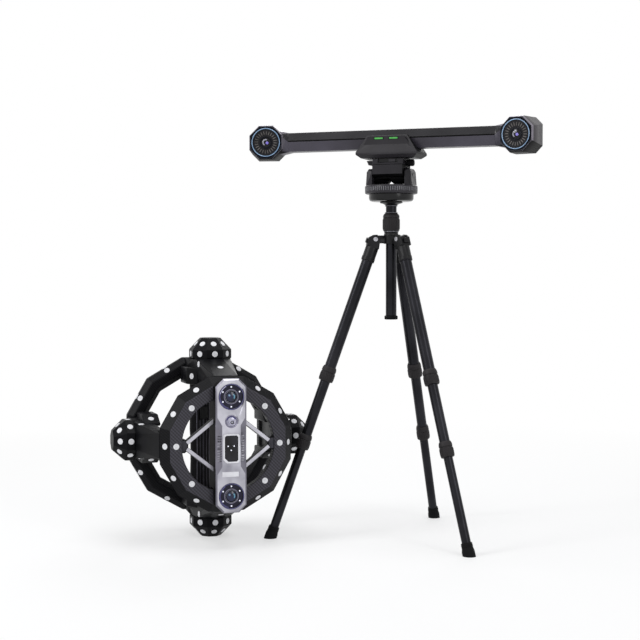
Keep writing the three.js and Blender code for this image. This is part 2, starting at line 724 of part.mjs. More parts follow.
function clampKnob() {
  const half = CLAMP_WIDTH / 2;
  const z = grooveFloor + JAW_HEIGHT - CLAMP_KNOB_DROP;
  const grip = rodX(CLAMP_KNOB_RADIUS, CLAMP_KNOB_LENGTH).translate(half + SEAT_GAP + CLAMP_KNOB_LENGTH / 2, 0, 0);
  const rodEnd = CLAMP_ROD_INSET - SEAT_GAP;
  const stud = rodX(CLAMP_ROD_RADIUS, rodEnd + CUT_OVERRUN).translate(half + (CUT_OVERRUN - rodEnd) / 2, 0, 0);
  const flutes = Array.from({ length: CLAMP_KNOB_FLUTES }, (_, i) =>
    rodX(CLAMP_KNOB_FLUTE_RADIUS, CLAMP_KNOB_LENGTH, 6)
      .translate(half + CUT_OVERRUN + CLAMP_KNOB_LENGTH / 2, CLAMP_KNOB_RADIUS, 0)
      .rotateX((i * 2 * Math.PI) / CLAMP_KNOB_FLUTES),
  );
  return cut(joined(grip, stud), ...flutes).translate([0, 0, z]);
}

function mountPlate() {
  const seat = 2 * SEAT_GAP;
  const outline = dovetail(GROOVE_MOUTH - seat, GROOVE_UNDERCUT, plateBottom, plateTop);
  return slab(outline, -PLATE_DEPTH / 2, PLATE_DEPTH / 2);
}

// Bar section in Y and Z, grown by a margin: a crease along its front and back
function barSection(margin) {
  const top = BAR_HEIGHT / 2 + margin;
  const halfDepth = BAR_DEPTH / 2 + margin;
  return [
    [-halfDepth, BAR_CREASE_RISE],
    [-BAR_TOP_SHARE * halfDepth, top],
    [BAR_TOP_SHARE * halfDepth, top],
    [halfDepth, BAR_CREASE_RISE],
    [BAR_FOOT_SHARE * halfDepth, -top],
    [-BAR_FOOT_SHARE * halfDepth, -top],
  ];
}

function barLength(margin, xLow, xHigh) {
  return hull(barSection(margin).flatMap(([y, z]) => [[xLow, y, z], [xHigh, y, z]]));
}

const neckEnd = LENS_SPACING / 2 - NECK_REACH;
const barEnd = neckEnd + NECK_SOCKET;

// The bar, grooved along its creases and stepped down at its ends to seat in the necks of the heads
function trackerBar() {
  const grooves = mirrorPairs([BAR_DEPTH / 2]).map((y) =>
    block(
      [-barEnd, y - BAR_GROOVE_DEPTH, BAR_CREASE_RISE - BAR_GROOVE_WIDTH / 2],
      [barEnd, y + BAR_GROOVE_DEPTH, BAR_CREASE_RISE + BAR_GROOVE_WIDTH / 2],
    ),
  );
  return cut(joined(barLength(0, -neckEnd, neckEnd), barLength(-NECK_WALL, -barEnd, barEnd)), ...grooves);
}

function trackerHousing() {
  const corner = (halfWidth, halfDepth, z) =>
    mirrorPairs([halfWidth]).flatMap((x) => mirrorPairs([halfDepth]).map((y) => [x, y, z]));
  const body = hull([
    ...corner(HOUSING_TOP_WIDTH / 2, HOUSING_TOP_DEPTH / 2, HOUSING_ABOVE_BAR_AXIS),
    ...corner(HOUSING_WIDTH / 2, HOUSING_DEPTH / 2, -HOUSING_WAIST_BELOW),
    ...corner(HOUSING_WIDTH / 2, HOUSING_DEPTH / 2, -HOUSING_WAIST_BELOW - HOUSING_BAND),
    ...corner(HOUSING_FOOT_WIDTH / 2, HOUSING_FOOT_DEPTH / 2, -HOUSING_BOTTOM_BELOW),
  ]);
  const channel = barLength(SEAT_GAP, -HOUSING_WIDTH, HOUSING_WIDTH);
  const above = block(
    [-HOUSING_WIDTH, -BAR_TOP_SHARE * (BAR_DEPTH / 2), 0],
    [HOUSING_WIDTH, BAR_TOP_SHARE * (BAR_DEPTH / 2), BAR_HEIGHT],
  );
  return cut(solidOf(body), channel, above, lightStrip(SEAT_GAP, CUT_OVERRUN));
}

// Two light windows on one strip, set into the housing's sloping front
function lightStrip(margin, proud) {
  const rise = HOUSING_ABOVE_BAR_AXIS + HOUSING_WAIST_BELOW;
  const run = (HOUSING_DEPTH - HOUSING_TOP_DEPTH) / 2;
  const slope = Math.atan2(run, rise);
  const halfHeight = LIGHT_HEIGHT / 2 + margin;
  const strip = block(
    [-LIGHT_SPACING / 2 - LIGHT_LENGTH / 2 - margin, LIGHT_DEPTH - LIGHT_STRIP_DEPTH, -halfHeight],
    [LIGHT_SPACING / 2 + LIGHT_LENGTH / 2 + margin, LIGHT_DEPTH + margin, halfHeight],
  );
  const windows = mirrorPairs([LIGHT_SPACING / 2]).map((x) =>
    block([x - LIGHT_LENGTH / 2 - margin, -proud, -halfHeight], [x + LIGHT_LENGTH / 2 + margin, LIGHT_DEPTH, halfHeight]),
  );
  const front = -HOUSING_TOP_DEPTH / 2 - (LIGHT_BELOW_TOP / rise) * run;
  const opened = proud > 0 ? [block(
    [-LIGHT_SPACING / 2, -proud, -halfHeight],
    [LIGHT_SPACING / 2, LIGHT_DEPTH, halfHeight],
  )] : [];
  return geometryOf(joined(strip, ...windows, ...opened))
    .rotateX(slope)
    .translate(0, front, HOUSING_ABOVE_BAR_AXIS - LIGHT_BELOW_TOP);
}

// A camera head in its own frame: it looks along -Y, and side is -1 on the left and 1 on the right.
// Its eight-sided front turns into a squarer back.
function trackerHead(side) {
  const outline = (half, cornerShare, y) => {
    const flat = half * (1 - cornerShare);
    return mirrorPairs([half]).flatMap((a) => mirrorPairs([flat]).flatMap((b) => [[a, y, b], [b, y, a]]));
  };
  const body = hull([
    ...outline(HEAD_RADIUS - HEAD_EDGE / 3, HEAD_FRONT_CORNER_SHARE, -HEAD_FRONT),
    ...outline(HEAD_RADIUS, HEAD_FRONT_CORNER_SHARE, HEAD_EDGE - HEAD_FRONT),
    ...outline(HEAD_RADIUS, HEAD_BACK_CORNER_SHARE, HEAD_BACK - HEAD_EDGE),
    ...outline(HEAD_RADIUS - HEAD_EDGE, HEAD_BACK_CORNER_SHARE, HEAD_BACK),
  ]);
  const pocket = turned(
    [
      [0, -HEAD_FRONT - CUT_OVERRUN],
      [CELL_RADIUS + SEAT_GAP, -HEAD_FRONT - CUT_OVERRUN],
      [CELL_RADIUS + SEAT_GAP, CELL_DEPTH - HEAD_FRONT + SEAT_GAP],
      [0, CELL_DEPTH - HEAD_FRONT + SEAT_GAP],
    ],
    FINE_SIDES,
    "y",
  );
  const turnedBody = body.rotateZ(-side * TOE_IN);
  const turnedPocket = pocket.rotateZ(-side * TOE_IN);
  const inner = -side * (NECK_REACH - SEAT_GAP);
  const shoulder = -side * (HEAD_RADIUS - HEAD_EDGE);
  const neck = hull([
    ...barSection(0).map(([y, z]) => [inner, y, z]),
    ...barSection(0).map(([y, z]) => [inner + (side * NECK_SOCKET) / 2, y, z]),
    ...[-1, 1].flatMap((up) => [
      [shoulder, -BAR_DEPTH / 2, up * (HEAD_RADIUS / 2)],
      [shoulder, BAR_DEPTH / 3, up * (HEAD_RADIUS / 2)],
      [0, -BAR_DEPTH / 3, up * (HEAD_RADIUS - HEAD_EDGE)],
      [0, BAR_DEPTH / 3, up * (HEAD_RADIUS - HEAD_EDGE)],
    ]),
  ]);
  const socketLow = Math.min(inner + side * (NECK_SOCKET + SEAT_GAP), inner - side * CUT_OVERRUN);
  const socketHigh = Math.max(inner + side * (NECK_SOCKET + SEAT_GAP), inner - side * CUT_OVERRUN);
  return cut(joined(turnedBody, neck), turnedPocket, barLength(SEAT_GAP - NECK_WALL, socketLow, socketHigh));
}

// A lens cell seated in a round pocket whose mouth is at y = mouth: rim, light ring, barrel and crowned glass
function lensCell(radius, depth, barrelRadius, mouth, sides = FINE_SIDES) {
  const ringFace = mouth + LIGHT_RING_DROP;
  const barrelFace = mouth - CELL_RIM_PROUD / 2;
  const glassEdge = mouth + GLASS_DROP;
  return turned(
    [
      [0, mouth + depth],
      [radius, mouth + depth],
      [radius, mouth - CELL_RIM_PROUD / 2],
      [radius - CELL_RIM / 2, mouth - CELL_RIM_PROUD],
      [radius - CELL_RIM, mouth - CELL_RIM_PROUD / 2],
      [radius - CELL_RIM, ringFace],
      [barrelRadius, ringFace],
      [barrelRadius, barrelFace],
      [barrelRadius - BARREL_WALL, barrelFace],
      [barrelRadius - BARREL_WALL, glassEdge],
      [(barrelRadius - BARREL_WALL) / 2, glassEdge - 0.75 * GLASS_CROWN],
      [0, glassEdge - GLASS_CROWN],
    ],
    sides,
    "y",
  );
}

function tracker() {
  const group = new THREE.Group();
  group.position.z = hingeHeight + barAxisHeight;
  group.add(
    piece("tracker_housing", trackerHousing(), trackerGrey),
    piece("tracker_bar", trackerBar(), trackerGrey),
    piece("status_lights", lightStrip(0, 0), statusGreen),
  );
  for (const side of [-1, 1]) {
    const name = side < 0 ? "left" : "right";
    const head = new THREE.Group();
    head.position.x = (side * LENS_SPACING) / 2;
    const cell = piece(
      `tracker_lens_${name}`,
      lensCell(CELL_RADIUS, CELL_DEPTH, BARREL_RADIUS, -HEAD_FRONT),
      lensGlass,
    );
    cell.rotation.z = -side * TOE_IN;
    head.add(piece(`tracker_head_${name}`, trackerHead(side), trackerGrey), cell);
    group.add(head);
  }
  return group;
}

function stand() {
  const group = new THREE.Group();
  const upper = new THREE.Group();
  upper.position.z = hingeHeight;
  upper.add(
    piece("spider", spider(), blackCasting),
    ...columnParts(),
    piece("pan_base", panBase(), headGrey),
    piece("pan_yoke", panYoke(), headGrey),
    piece("tilt_cradle", tiltCradle(), headGrey),
    piece("tilt_axle", tiltAxle(), bareSteel),
    piece("clamp_body", clampBody(), headGrey),
    piece("clamp_knob", clampKnob(), rubber),
    piece("mount_plate", mountPlate(), blackCasting),
  );
  group.add(upper, ...LEG_NAMES.map(leg), tracker());
  return group;
}

// Scanner cage. A dodecagon's apothem runs to the middle of a side, and one side faces each marker knob.
const cageCorner = (apothem) => apothem / Math.cos(Math.PI / CAGE_SIDES);
const knobCorner = (apothem) => apothem / Math.cos(Math.PI / KNOB_SIDES);
const cageTurn = Math.PI / CAGE_SIDES;
const knobBase = KNOB_TIP - KNOB_HEIGHT;
const KNOB_DIRECTIONS = { top: 0, right: 1, bottom: 2, left: 3 };

// A marker knob, modelled for the top
function markerKnob() {
  return turned(
    [
      [0, knobBase],
      [knobCorner(KNOB_RADIUS - KNOB_UNDERCUT), knobBase],
      [knobCorner(KNOB_RADIUS), knobBase + KNOB_UNDERCUT_HEIGHT],
      [knobCorner(KNOB_RADIUS), knobBase + KNOB_WALL_HEIGHT],
      [knobCorner(KNOB_TIP_RADIUS), KNOB_TIP],
      [0, KNOB_TIP],
    ],
    KNOB_SIDES,
    "z",
    Math.PI / KNOB_SIDES,
  );
}

// The knob's spreading spoke, which runs from the front ring back to the rear frame
function spoke() {
  const end = knobBase + KNOB_UNDERCUT_HEIGHT;
  const knobEnd = Array.from({ length: KNOB_SIDES }, (_, i) => {
    const angle = (i + 0.5) * ((2 * Math.PI) / KNOB_SIDES);
    const r = knobCorner(SPOKE_KNOB_RADIUS);
    return [r * Math.cos(angle), r * Math.sin(angle), end];
  });
  const ringBack = RING_THICKNESS - RING_FACE + SEAT_GAP;
  const ringEnd = mirrorPairs([SPOKE_FRONT_HALF_WIDTH]).flatMap((x) => [
    [x, ringBack, SPOKE_INNER_RADIUS],
    [x, ringBack, RING_BACK_APOTHEM],
  ]);
  const rearInner = REAR_FRAME_APOTHEM - REAR_FRAME_WIDTH;
  const rearMiddle = REAR_FRAME_BEHIND + REAR_FRAME_THICKNESS / 2;
  const rearEnd = mirrorPairs([SPOKE_REAR_HALF_WIDTH]).flatMap((x) => [
    [x, rearMiddle, rearInner + REAR_FRAME_CHAMFER / 2],
    [x, rearMiddle, REAR_FRAME_APOTHEM - REAR_FRAME_CHAMFER / 4],
  ]);
  return hull([...knobEnd, ...ringEnd, ...rearEnd]);
}

// The twelve-sided rear frame, grown by a margin where it cuts what meets it
function rearFrame(margin) {
  const front = REAR_FRAME_BEHIND - margin;
  const back = REAR_FRAME_BEHIND + REAR_FRAME_THICKNESS + margin;
  const inner = REAR_FRAME_APOTHEM - REAR_FRAME_WIDTH - margin;
  const outer = REAR_FRAME_APOTHEM + margin;
  const widening = margin * (2 - Math.SQRT2);
  const c = REAR_FRAME_CHAMFER + widening;
  const innerBack = REAR_FRAME_CHAMFER / 2 + widening;
  return turned(
    [
      [cageCorner(inner), front + c],
      [cageCorner(inner + c), front],
      [cageCorner(outer - c), front],
      [cageCorner(outer), front + c],
      [cageCorner(outer), back - c],
      [cageCorner(outer - c), back],
      [cageCorner(inner + innerBack), back],
      [cageCorner(inner), back - innerBack],
    ],
    CAGE_SIDES,
    "y",
    cageTurn,
  );
}

// A marker knob and its spoke are one moulding, which straddles the rear frame's front edge
function knobAndSpoke(quarter) {
  const shape = cut(joined(markerKnob(), spoke()), rearFrame(SEAT_GAP));
  return geometryOf(shape).rotateY(quarter * QUARTER_TURN);
}

// The front ring with its two bosses and the four braces that steady the camera unit
function frontRing() {
  const back = RING_THICKNESS - RING_FACE;
  const ring = turned(
    [
      [0, -RING_FACE],
      [cageCorner(RING_FRONT_APOTHEM), -RING_FACE],
      [cageCorner(RING_BACK_APOTHEM), back],
      [0, back],
    ],
    CAGE_SIDES,
    "y",
    cageTurn,
  );
  const opening = rod(RING_OPENING_RADIUS, 4 * RING_THICKNESS, FINE_SIDES).translate(0, -RING_FACE, 0);
  const y0 = BRACE_SETBACK - RING_FACE;
  const y1 = y0 + BRACE_THICKNESS;
  const hubX = RING_OPENING_RADIUS - BOSS_WIDTH;
  const unitSide = UNIT_BACK_WIDTH / 2 + SEAT_GAP;
  const rise = BRACE_END_RISE - BOSS_HEIGHT / 4;
  const run = hubX - unitSide;
  const along = Math.hypot(rise, run);
  const dx = ((BRACE_WIDTH / 2) * rise) / along;
  const dz = ((BRACE_WIDTH / 2) * run) / along;
  const limbs = [-1, 1].flatMap((side) => {
    const boss = hull(
      mirrorPairs([BOSS_HEIGHT / 2]).flatMap((z) => [
        [side * (RING_OPENING_RADIUS + BOSS_WIDTH / 2), y0, z],
        [side * (RING_OPENING_RADIUS + BOSS_WIDTH / 2), y1, z],
        [side * hubX, y0, z / 2],
        [side * hubX, y1, z / 2],
        [side * (hubX + BOSS_WIDTH / 2), y0, z],
        [side * (hubX + BOSS_WIDTH / 2), y1, z],
      ]),
    );
    const braces = [-1, 1].map((up) =>
      hull(
        [y0, y1].flatMap((y) => [
          [side * (hubX + BOSS_WIDTH / 3 + dx), y, up * (BOSS_HEIGHT / 6 + dz)],
          [side * (hubX + BOSS_WIDTH / 3 - dx), y, up * (BOSS_HEIGHT / 6 - dz)],
          [side * unitSide, y, up * (BRACE_END_RISE + BRACE_WIDTH / 2)],
          [side * unitSide, y, up * (BRACE_END_RISE - BRACE_WIDTH / 2)],
        ]),
      ),
    );
    return [boss, ...braces];
  });
  return limbs.reduce((sum, limb) => sum.add(solidOf(limb)), cut(solidOf(ring), opening));
}

// The shell's front outline in X and Z, a rectangle with cut corners
function shellOutline(inset) {
  const x = SHELL_WIDTH / 2 - inset;
  const z = SHELL_HEIGHT / 2 - inset;
  const c = SHELL_CORNER - inset / 2;
  return [
    [-x, c - z],
    [c - x, -z],
    [x - c, -z],
    [x, c - z],
    [x, z - c],
    [x - c, z],
    [c - x, z],
    [-x, z - c],
  ];
}

const shellFront = -RING_FACE - SHELL_PROUD;
const shellBack = -RING_FACE - SEAT_GAP;
const lensZ = [SCANNER_LENS_SPACING / 2 - SCANNER_LENS_LOWERED, -SCANNER_LENS_SPACING / 2 - SCANNER_LENS_LOWERED];

function windowOutline(margin) {
  const x = WINDOW_WIDTH / 2 + margin;
  const z = WINDOW_HEIGHT / 2 + margin;
  const low = -z - WINDOW_LOWERED;
  const high = z - WINDOW_LOWERED;
  return [
    [-x, low + WINDOW_CORNER],
    [WINDOW_CORNER - x, low],
    [x - WINDOW_FRAME, low],
    [x, low + WINDOW_FRAME],
    [x, high - WINDOW_FRAME],
    [x - WINDOW_FRAME, high],
    [WINDOW_FRAME - x, high],
    [-x, high - WINDOW_FRAME],
  ];
}

function cameraShell() {
  const plan = (outline, y) => outline.map(([x, z]) => [x, y, z]);
  const body = hull([
    ...plan(shellOutline(SHELL_BEVEL), shellFront),
    ...plan(shellOutline(0), shellFront + SHELL_BEVEL),
    ...plan(shellOutline(0), shellBack),
  ]);
  const half = SHELL_WIDTH / 2;
  const waist = [-1, 1].map((side) =>
    hull([
      ...mirrorPairs([WAIST_HALF_HEIGHT]).flatMap((z) => [
        [(side * WAIST_WIDTH) / 2, shellFront - CUT_OVERRUN, z],
        [(side * WAIST_WIDTH) / 2, shellFront, z],
        [side * (half + CUT_OVERRUN), shellFront + WAIST_DROP, z],
        [side * (half + CUT_OVERRUN), shellFront - CUT_OVERRUN, z],
      ]),
      ...mirrorPairs([WAIST_HALF_HEIGHT + WAIST_RUNOUT]).flatMap((z) => [
        [side * (half + CUT_OVERRUN), shellFront, z],
        [side * (half + CUT_OVERRUN), shellFront - CUT_OVERRUN, z],
      ]),
    ]),
  );
  const vents = [-1, 1].flatMap((side) =>
    Array.from({ length: VENT_COUNT }, (_, i) => {
      const z = (i - (VENT_COUNT - 1) / 2) * VENT_PITCH - WINDOW_LOWERED;
      const x = side * (WAIST_WIDTH / 2 + VENT_LENGTH / 2 + VENT_DEPTH);
      return block(
        [x - VENT_LENGTH / 2, shellFront - CUT_OVERRUN, z - VENT_HEIGHT / 2],
        [x + VENT_LENGTH / 2, shellFront + WAIST_DROP / 2 + VENT_DEPTH, z + VENT_HEIGHT / 2],
      );
    }),
  );
  const pocket = (radius, depth, z) =>
    rod(radius + SEAT_GAP, depth + SEAT_GAP + CUT_OVERRUN, FINE_SIDES).translate(
      0,
      shellFront + (depth + SEAT_GAP - CUT_OVERRUN) / 2,
      z,
    );
  return cut(
    solidOf(body),
    ...waist,
    ...vents,
    ...lensZ.map((z) => pocket(SCANNER_CELL_RADIUS, SCANNER_CELL_DEPTH, z)),
    pocket(LASER_RADIUS, LASER_DEPTH, LASER_RAISED),
    slab(windowOutline(SEAT_GAP), shellFront - CUT_OVERRUN, shellFront + WINDOW_DEPTH + SEAT_GAP),
  );
}

// The dark body behind the shell, held by the braces
function cameraBack() {
  const x = UNIT_BACK_WIDTH / 2;
  const z = Math.sqrt((RING_OPENING_RADIUS - UNIT_BACK_IN_RING) ** 2 - x ** 2);
  const c = UNIT_BACK_CHAMFER;
  const front = shellBack + SEAT_GAP;
  const back = front + UNIT_BACK_DEPTH;
  return hull(
    mirrorPairs([1]).flatMap((up) =>
      mirrorPairs([1]).flatMap((side) => [
        [side * x, front, up * z],
        [side * x, back - c, up * z],
        [side * (x - c), back, up * (z - c)],
      ]),
    ),
  );
}

function laserLens() {
  return lensCell(LASER_RADIUS, LASER_DEPTH, LASER_RADIUS / 2, shellFront, ROUND_SIDES).translate(0, 0, LASER_RAISED);
}

// The framed dark window between the two cameras
function sensorWindow() {
  const frame = slab(windowOutline(0), shellFront - CELL_RIM_PROUD / 2, shellFront + WINDOW_DEPTH);
  const recess = slab(
    windowOutline(-WINDOW_FRAME),
    shellFront - CUT_OVERRUN,
    shellFront + WINDOW_GLASS_DROP,
  );
  return cut(solidOf(frame), recess);
}

const gripHalfLength = REAR_FRAME_APOTHEM - REAR_FRAME_WIDTH - SEAT_GAP;

function triggerBlock(margin, inward) {
  const surface = GRIP_BEHIND - GRIP_HALF_WIDTH * GRIP_DEPTH_SHARE;
  return block(
    [-TRIGGER_WIDTH / 2 - margin, surface - TRIGGER_PROUD, TRIGGER_RAISED - TRIGGER_HEIGHT / 2 - margin],
    [TRIGGER_WIDTH / 2 + margin, surface + TRIGGER_DEPTH + inward, TRIGGER_RAISED + TRIGGER_HEIGHT / 2 + margin],
  );
}

// The rear grip, an oval bar with a swelling for the palm and flared ends
function grip() {
  const bar = turned([
    [0, -gripHalfLength],
    [GRIP_END_HALF_WIDTH, -gripHalfLength],
    [GRIP_HALF_WIDTH, GRIP_FLARE_LENGTH - gripHalfLength],
    [GRIP_HALF_WIDTH - GRIP_SWELL, -gripHalfLength / 2],
    [GRIP_HALF_WIDTH + GRIP_SWELL / 2, -gripHalfLength / 6],
    [GRIP_HALF_WIDTH, gripHalfLength / 6],
    [GRIP_HALF_WIDTH, gripHalfLength - GRIP_FLARE_LENGTH],
    [GRIP_END_HALF_WIDTH, gripHalfLength],
    [0, gripHalfLength],
  ])
    .scale(1, GRIP_DEPTH_SHARE, 1)
    .translate(0, GRIP_BEHIND, 0);
  return cut(solidOf(bar), triggerBlock(RUNNING_GAP, TRIGGER_ROOM));
}

function handScanner() {
  const group = new THREE.Group();
  group.position.set(-SCANNER_LEFT_OF_STAND, -SCANNER_BEFORE_STAND, KNOB_TIP);
  group.rotation.z = SCANNER_TURN;
  group.add(
    piece("front_ring", frontRing(), cageBlack),
    piece("cage_frame", rearFrame(0), cageBlack),
    ...Object.entries(KNOB_DIRECTIONS).map(([name, quarter]) =>
      piece(`marker_knob_${name}`, knobAndSpoke(quarter), cageBlack),
    ),
    piece("camera_shell", cameraShell(), silverShell),
    piece("camera_back", cameraBack(), cageBlack),
    ...["top", "bottom"].map((name, i) =>
      piece(
        `camera_lens_${name}`,
        lensCell(SCANNER_CELL_RADIUS, SCANNER_CELL_DEPTH, SCANNER_BARREL_RADIUS, shellFront).translate(0, 0, lensZ[i]),
        lensGlass,
      ),
    ),
    piece("laser_lens", laserLens(), lensGlass),
    piece("sensor_window", sensorWindow(), lensGlass),
    piece("grip", grip(), rubber),
    piece("trigger", triggerBlock(0, 0), blackCasting),
  );
  return group;
}

// The set, moved so that the origin is under the middle of its box, on the floor
const model = new THREE.Group();
model.add(stand(), handScanner());
const box = new THREE.Box3().setFromObject(model, true);
const middle = box.getCenter(new THREE.Vector3());
model.position.set(-middle.x, -middle.y, -box.min.z);

const scannerSet = new THREE.Group();
scannerSet.add(model);

export default scannerSet;
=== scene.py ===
"""Looks for an optical scanning set: a hand-held scanner in a marker cage, and its two-camera tracker on a stand.

Shapes are drawn in millimetres in their own frames, and each finished mesh is stored in metres in the row frame.
"""

from math import atan2, cos, hypot, pi, radians, sin

import bmesh
import bpy
from mathutils import Matrix, Vector
from mathutils.bvhtree import BVHTree


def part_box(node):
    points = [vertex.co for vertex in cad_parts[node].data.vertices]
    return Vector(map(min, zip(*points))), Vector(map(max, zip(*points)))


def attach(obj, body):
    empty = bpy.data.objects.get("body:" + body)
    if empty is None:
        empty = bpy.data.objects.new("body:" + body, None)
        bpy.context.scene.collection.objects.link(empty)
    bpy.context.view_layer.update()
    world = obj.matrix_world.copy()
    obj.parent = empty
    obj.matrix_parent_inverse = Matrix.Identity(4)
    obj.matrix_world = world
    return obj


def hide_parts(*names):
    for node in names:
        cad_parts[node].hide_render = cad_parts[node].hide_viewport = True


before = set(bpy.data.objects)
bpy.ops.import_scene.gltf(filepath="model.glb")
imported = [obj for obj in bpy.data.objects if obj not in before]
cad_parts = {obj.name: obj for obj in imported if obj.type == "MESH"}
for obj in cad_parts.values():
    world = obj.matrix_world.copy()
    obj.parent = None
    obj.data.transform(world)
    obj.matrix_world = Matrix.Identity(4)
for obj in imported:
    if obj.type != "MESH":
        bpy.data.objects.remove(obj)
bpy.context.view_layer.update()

MM = 0.001
FULL_TURN = 2 * pi
ROUND = 64
FINE = 96
TO_METRES = Matrix.Scale(MM, 4)


def at(x, y, z):
    """A move to a place."""
    return Matrix.Translation((x, y, z))


def turned_by(angle, axis):
    return Matrix.Rotation(angle, 4, axis)


Z_TO_Y = turned_by(-pi / 2, "X")
Z_TO_X = turned_by(pi / 2, "Y")

# Stand frame: its origin is on the floor, on the centre column's axis
HINGE_HEIGHT = 609
HINGE_RADIUS = 33.2
LEG_SPREAD = radians(19.4)
LEG_TURNS = {"rear": radians(84), "left": radians(204), "right": radians(324)}
column_low, column_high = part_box("centre_column")
STAND = at((column_low.x + column_high.x) / 2, (column_low.y + column_high.y) / 2, 0) @ TO_METRES

# Heights above the floor of the head's parts
COLUMN_TOP = HINGE_HEIGHT + 69.6
PAN_BASE_BOTTOM = COLUMN_TOP + 7.6
DIAL_BOTTOM = PAN_BASE_BOTTOM + 15
DIAL_TOP = DIAL_BOTTOM + 17
DIAL_RADIUS = 53.5
TILT_HEIGHT = DIAL_TOP + 20
CRADLE_TOP = TILT_HEIGHT + 21.5
GROOVE_FLOOR = CRADLE_TOP + 4.3
BAR_AXIS = GROOVE_FLOOR + 47.8

# Tracker frame: its origin is the middle of the bar
TRACKER = STAND @ at(0, 0, BAR_AXIS)
LENS_SPACING = 540
TOE_IN = radians(13)
HEAD_FRONT = 33

# Scanner frame: its origin is the cage's centre, and it looks along its own -Y
KNOB_TIP = 204
SCANNER_TURN = radians(38)
SCANNER = STAND @ at(-355, -110, KNOB_TIP) @ turned_by(SCANNER_TURN, "Z")
SHELL_FRONT = -172
SCANNER_LENS_Z = {"top": 96, "bottom": -98}
LASER_Z = 48
RING_FRONT, RING_BACK, RING_OPENING = -150, -130, 93
DOT_RADIUS = 5.9

# The camera, fitted to the stand in the photo: its place round the stand's axis in metres, and where it looks
VIEW_AZIMUTH = radians(16.8)
VIEW_DISTANCE, VIEW_HEIGHT = 2.858, 0.537
VIEW_ASIDE, VIEW_PITCH = radians(2.914), radians(-1.855)
SENSOR_WIDTH, FOCAL_PIXELS, PICTURE_PIXELS = 36, 1397, 640


# Shader groups


def shader_group(name, inputs, outputs):
    """A node group with named values: its inputs with their defaults, and its outputs."""
    tree = bpy.data.node_groups.new(name, "ShaderNodeTree")
    for label, default in inputs.items():
        tree.interface.new_socket(label, in_out="INPUT", socket_type="NodeSocketFloat").default_value = default
    for label in outputs:
        tree.interface.new_socket(label, in_out="OUTPUT", socket_type="NodeSocketFloat")
    return tree, tree.nodes.new("NodeGroupInput"), tree.nodes.new("NodeGroupOutput")


def add_node(tree, kind, links=None, **values):
    """A node with its properties and socket values set, and its inputs linked."""
    node = tree.nodes.new("ShaderNode" + kind)
    for key, value in values.items():
        if hasattr(node, key):
            setattr(node, key, value)
        else:
            node.inputs[key.replace("_", " ")].default_value = value
    for socket, source in (links or {}).items():
        tree.links.new(source, node.inputs[socket])
    return node


def paint_grain_group():
    """Moulded or painted surface: a soft unevenness of shade and a fine grain for the bump."""
    tree, given, result = shader_group("paint_grain", {"Patch Scale": 30, "Grain Scale": 900}, ("Patch", "Grain"))
    place = add_node(tree, "TexCoord").outputs["Object"]
    for label, detail in (("Patch", 3.0), ("Grain", 2.0)):
        links = {"Vector": place, "Scale": given.outputs[label + " Scale"]}
        noise = add_node(tree, "TexNoise", links, Detail=detail)
        tree.links.new(noise.outputs["Fac"], result.inputs[label])
    return tree


def twill_group():
    """Carbon twill: crossed diagonal yarns, as a mask of the yarn on top and a height."""
    tree, given, result = shader_group("carbon_twill", {"Yarns": 260, "Turn": 0}, ("Yarn", "Height"))

    def sums(operation, links, factor=None):
        node = add_node(tree, "Math", links, operation=operation)
        if factor is not None:
            node.inputs[1].default_value = factor
        return node.outputs[0]

    place = add_node(tree, "TexCoord")
    angle = add_node(tree, "CombineXYZ", {"Z": given.outputs["Turn"]})
    links = {"Vector": place.outputs["Object"], "Rotation": angle.outputs[0]}
    turned_place = add_node(tree, "VectorRotate", links, rotation_type="EULER_XYZ")
    axes = add_node(tree, "SeparateXYZ", {"Vector": turned_place.outputs[0]})
    bands = []
    for sign in (1, -1):
        slant = sums("MULTIPLY", {0: axes.outputs["Z"]}, sign)
        along = sums("ADD", {0: axes.outputs["X"], 1: slant})
        bands.append(sums("SINE", {0: sums("MULTIPLY", {0: along, 1: given.outputs["Yarns"]})}))
    crossed = sums("MULTIPLY_ADD", {0: bands[0], 2: bands[1]}, 2.2)
    mask = add_node(tree, "MapRange", {"Value": crossed}, From_Min=-1.6, From_Max=1.6)
    tree.links.new(mask.outputs["Result"], result.inputs["Yarn"])
    tree.links.new(sums("MAXIMUM", {0: bands[0], 1: bands[1]}), result.inputs["Height"])
    return tree


PAINT_GRAIN = paint_grain_group()
TWILL = twill_group()


def colour(hex_code):
    """A colour as the shader wants it, from its sRGB hex code."""
    parts = [int(hex_code[i : i + 2], 16) / 255 for i in (0, 2, 4)]
    return (*[p / 12.92 if p <= 0.04045 else ((p + 0.055) / 1.055) ** 2.4 for p in parts], 1.0)


def new_material(name, roughness, metallic, coat, specular):
    material = bpy.data.materials.new(name)
    material.use_nodes = True
    shader = material.node_tree.nodes["Principled BSDF"]
    values = {"Roughness": roughness, "Metallic": metallic, "Coat Weight": coat, "Specular IOR Level": specular}
    for label, value in values.items():
        shader.inputs[label].default_value = value
    return material, material.node_tree, shader


def drive(tree, shader, pattern, height, shades, stops, roughness, spread, bump, distance):
    """Leads a pattern to a shader's colour, between two shades, and to its gloss, and a height to its normal."""
    ramp = add_node(tree, "ValToRGB", {"Fac": pattern})
    for element, shade, stop in zip(ramp.color_ramp.elements, shades, stops):
        element.color, element.position = colour(shade), stop
    low, high = max(roughness - spread, 0.03), min(roughness + spread, 1)
    gloss = add_node(tree, "MapRange", {"Value": pattern}, To_Min=low, To_Max=high)
    relief = add_node(tree, "Bump", {"Height": height}, Strength=bump, Distance=distance)
    tree.links.new(ramp.outputs["Color"], shader.inputs["Base Color"])
    tree.links.new(gloss.outputs["Result"], shader.inputs["Roughness"])
    tree.links.new(relief.outputs["Normal"], shader.inputs["Normal"])


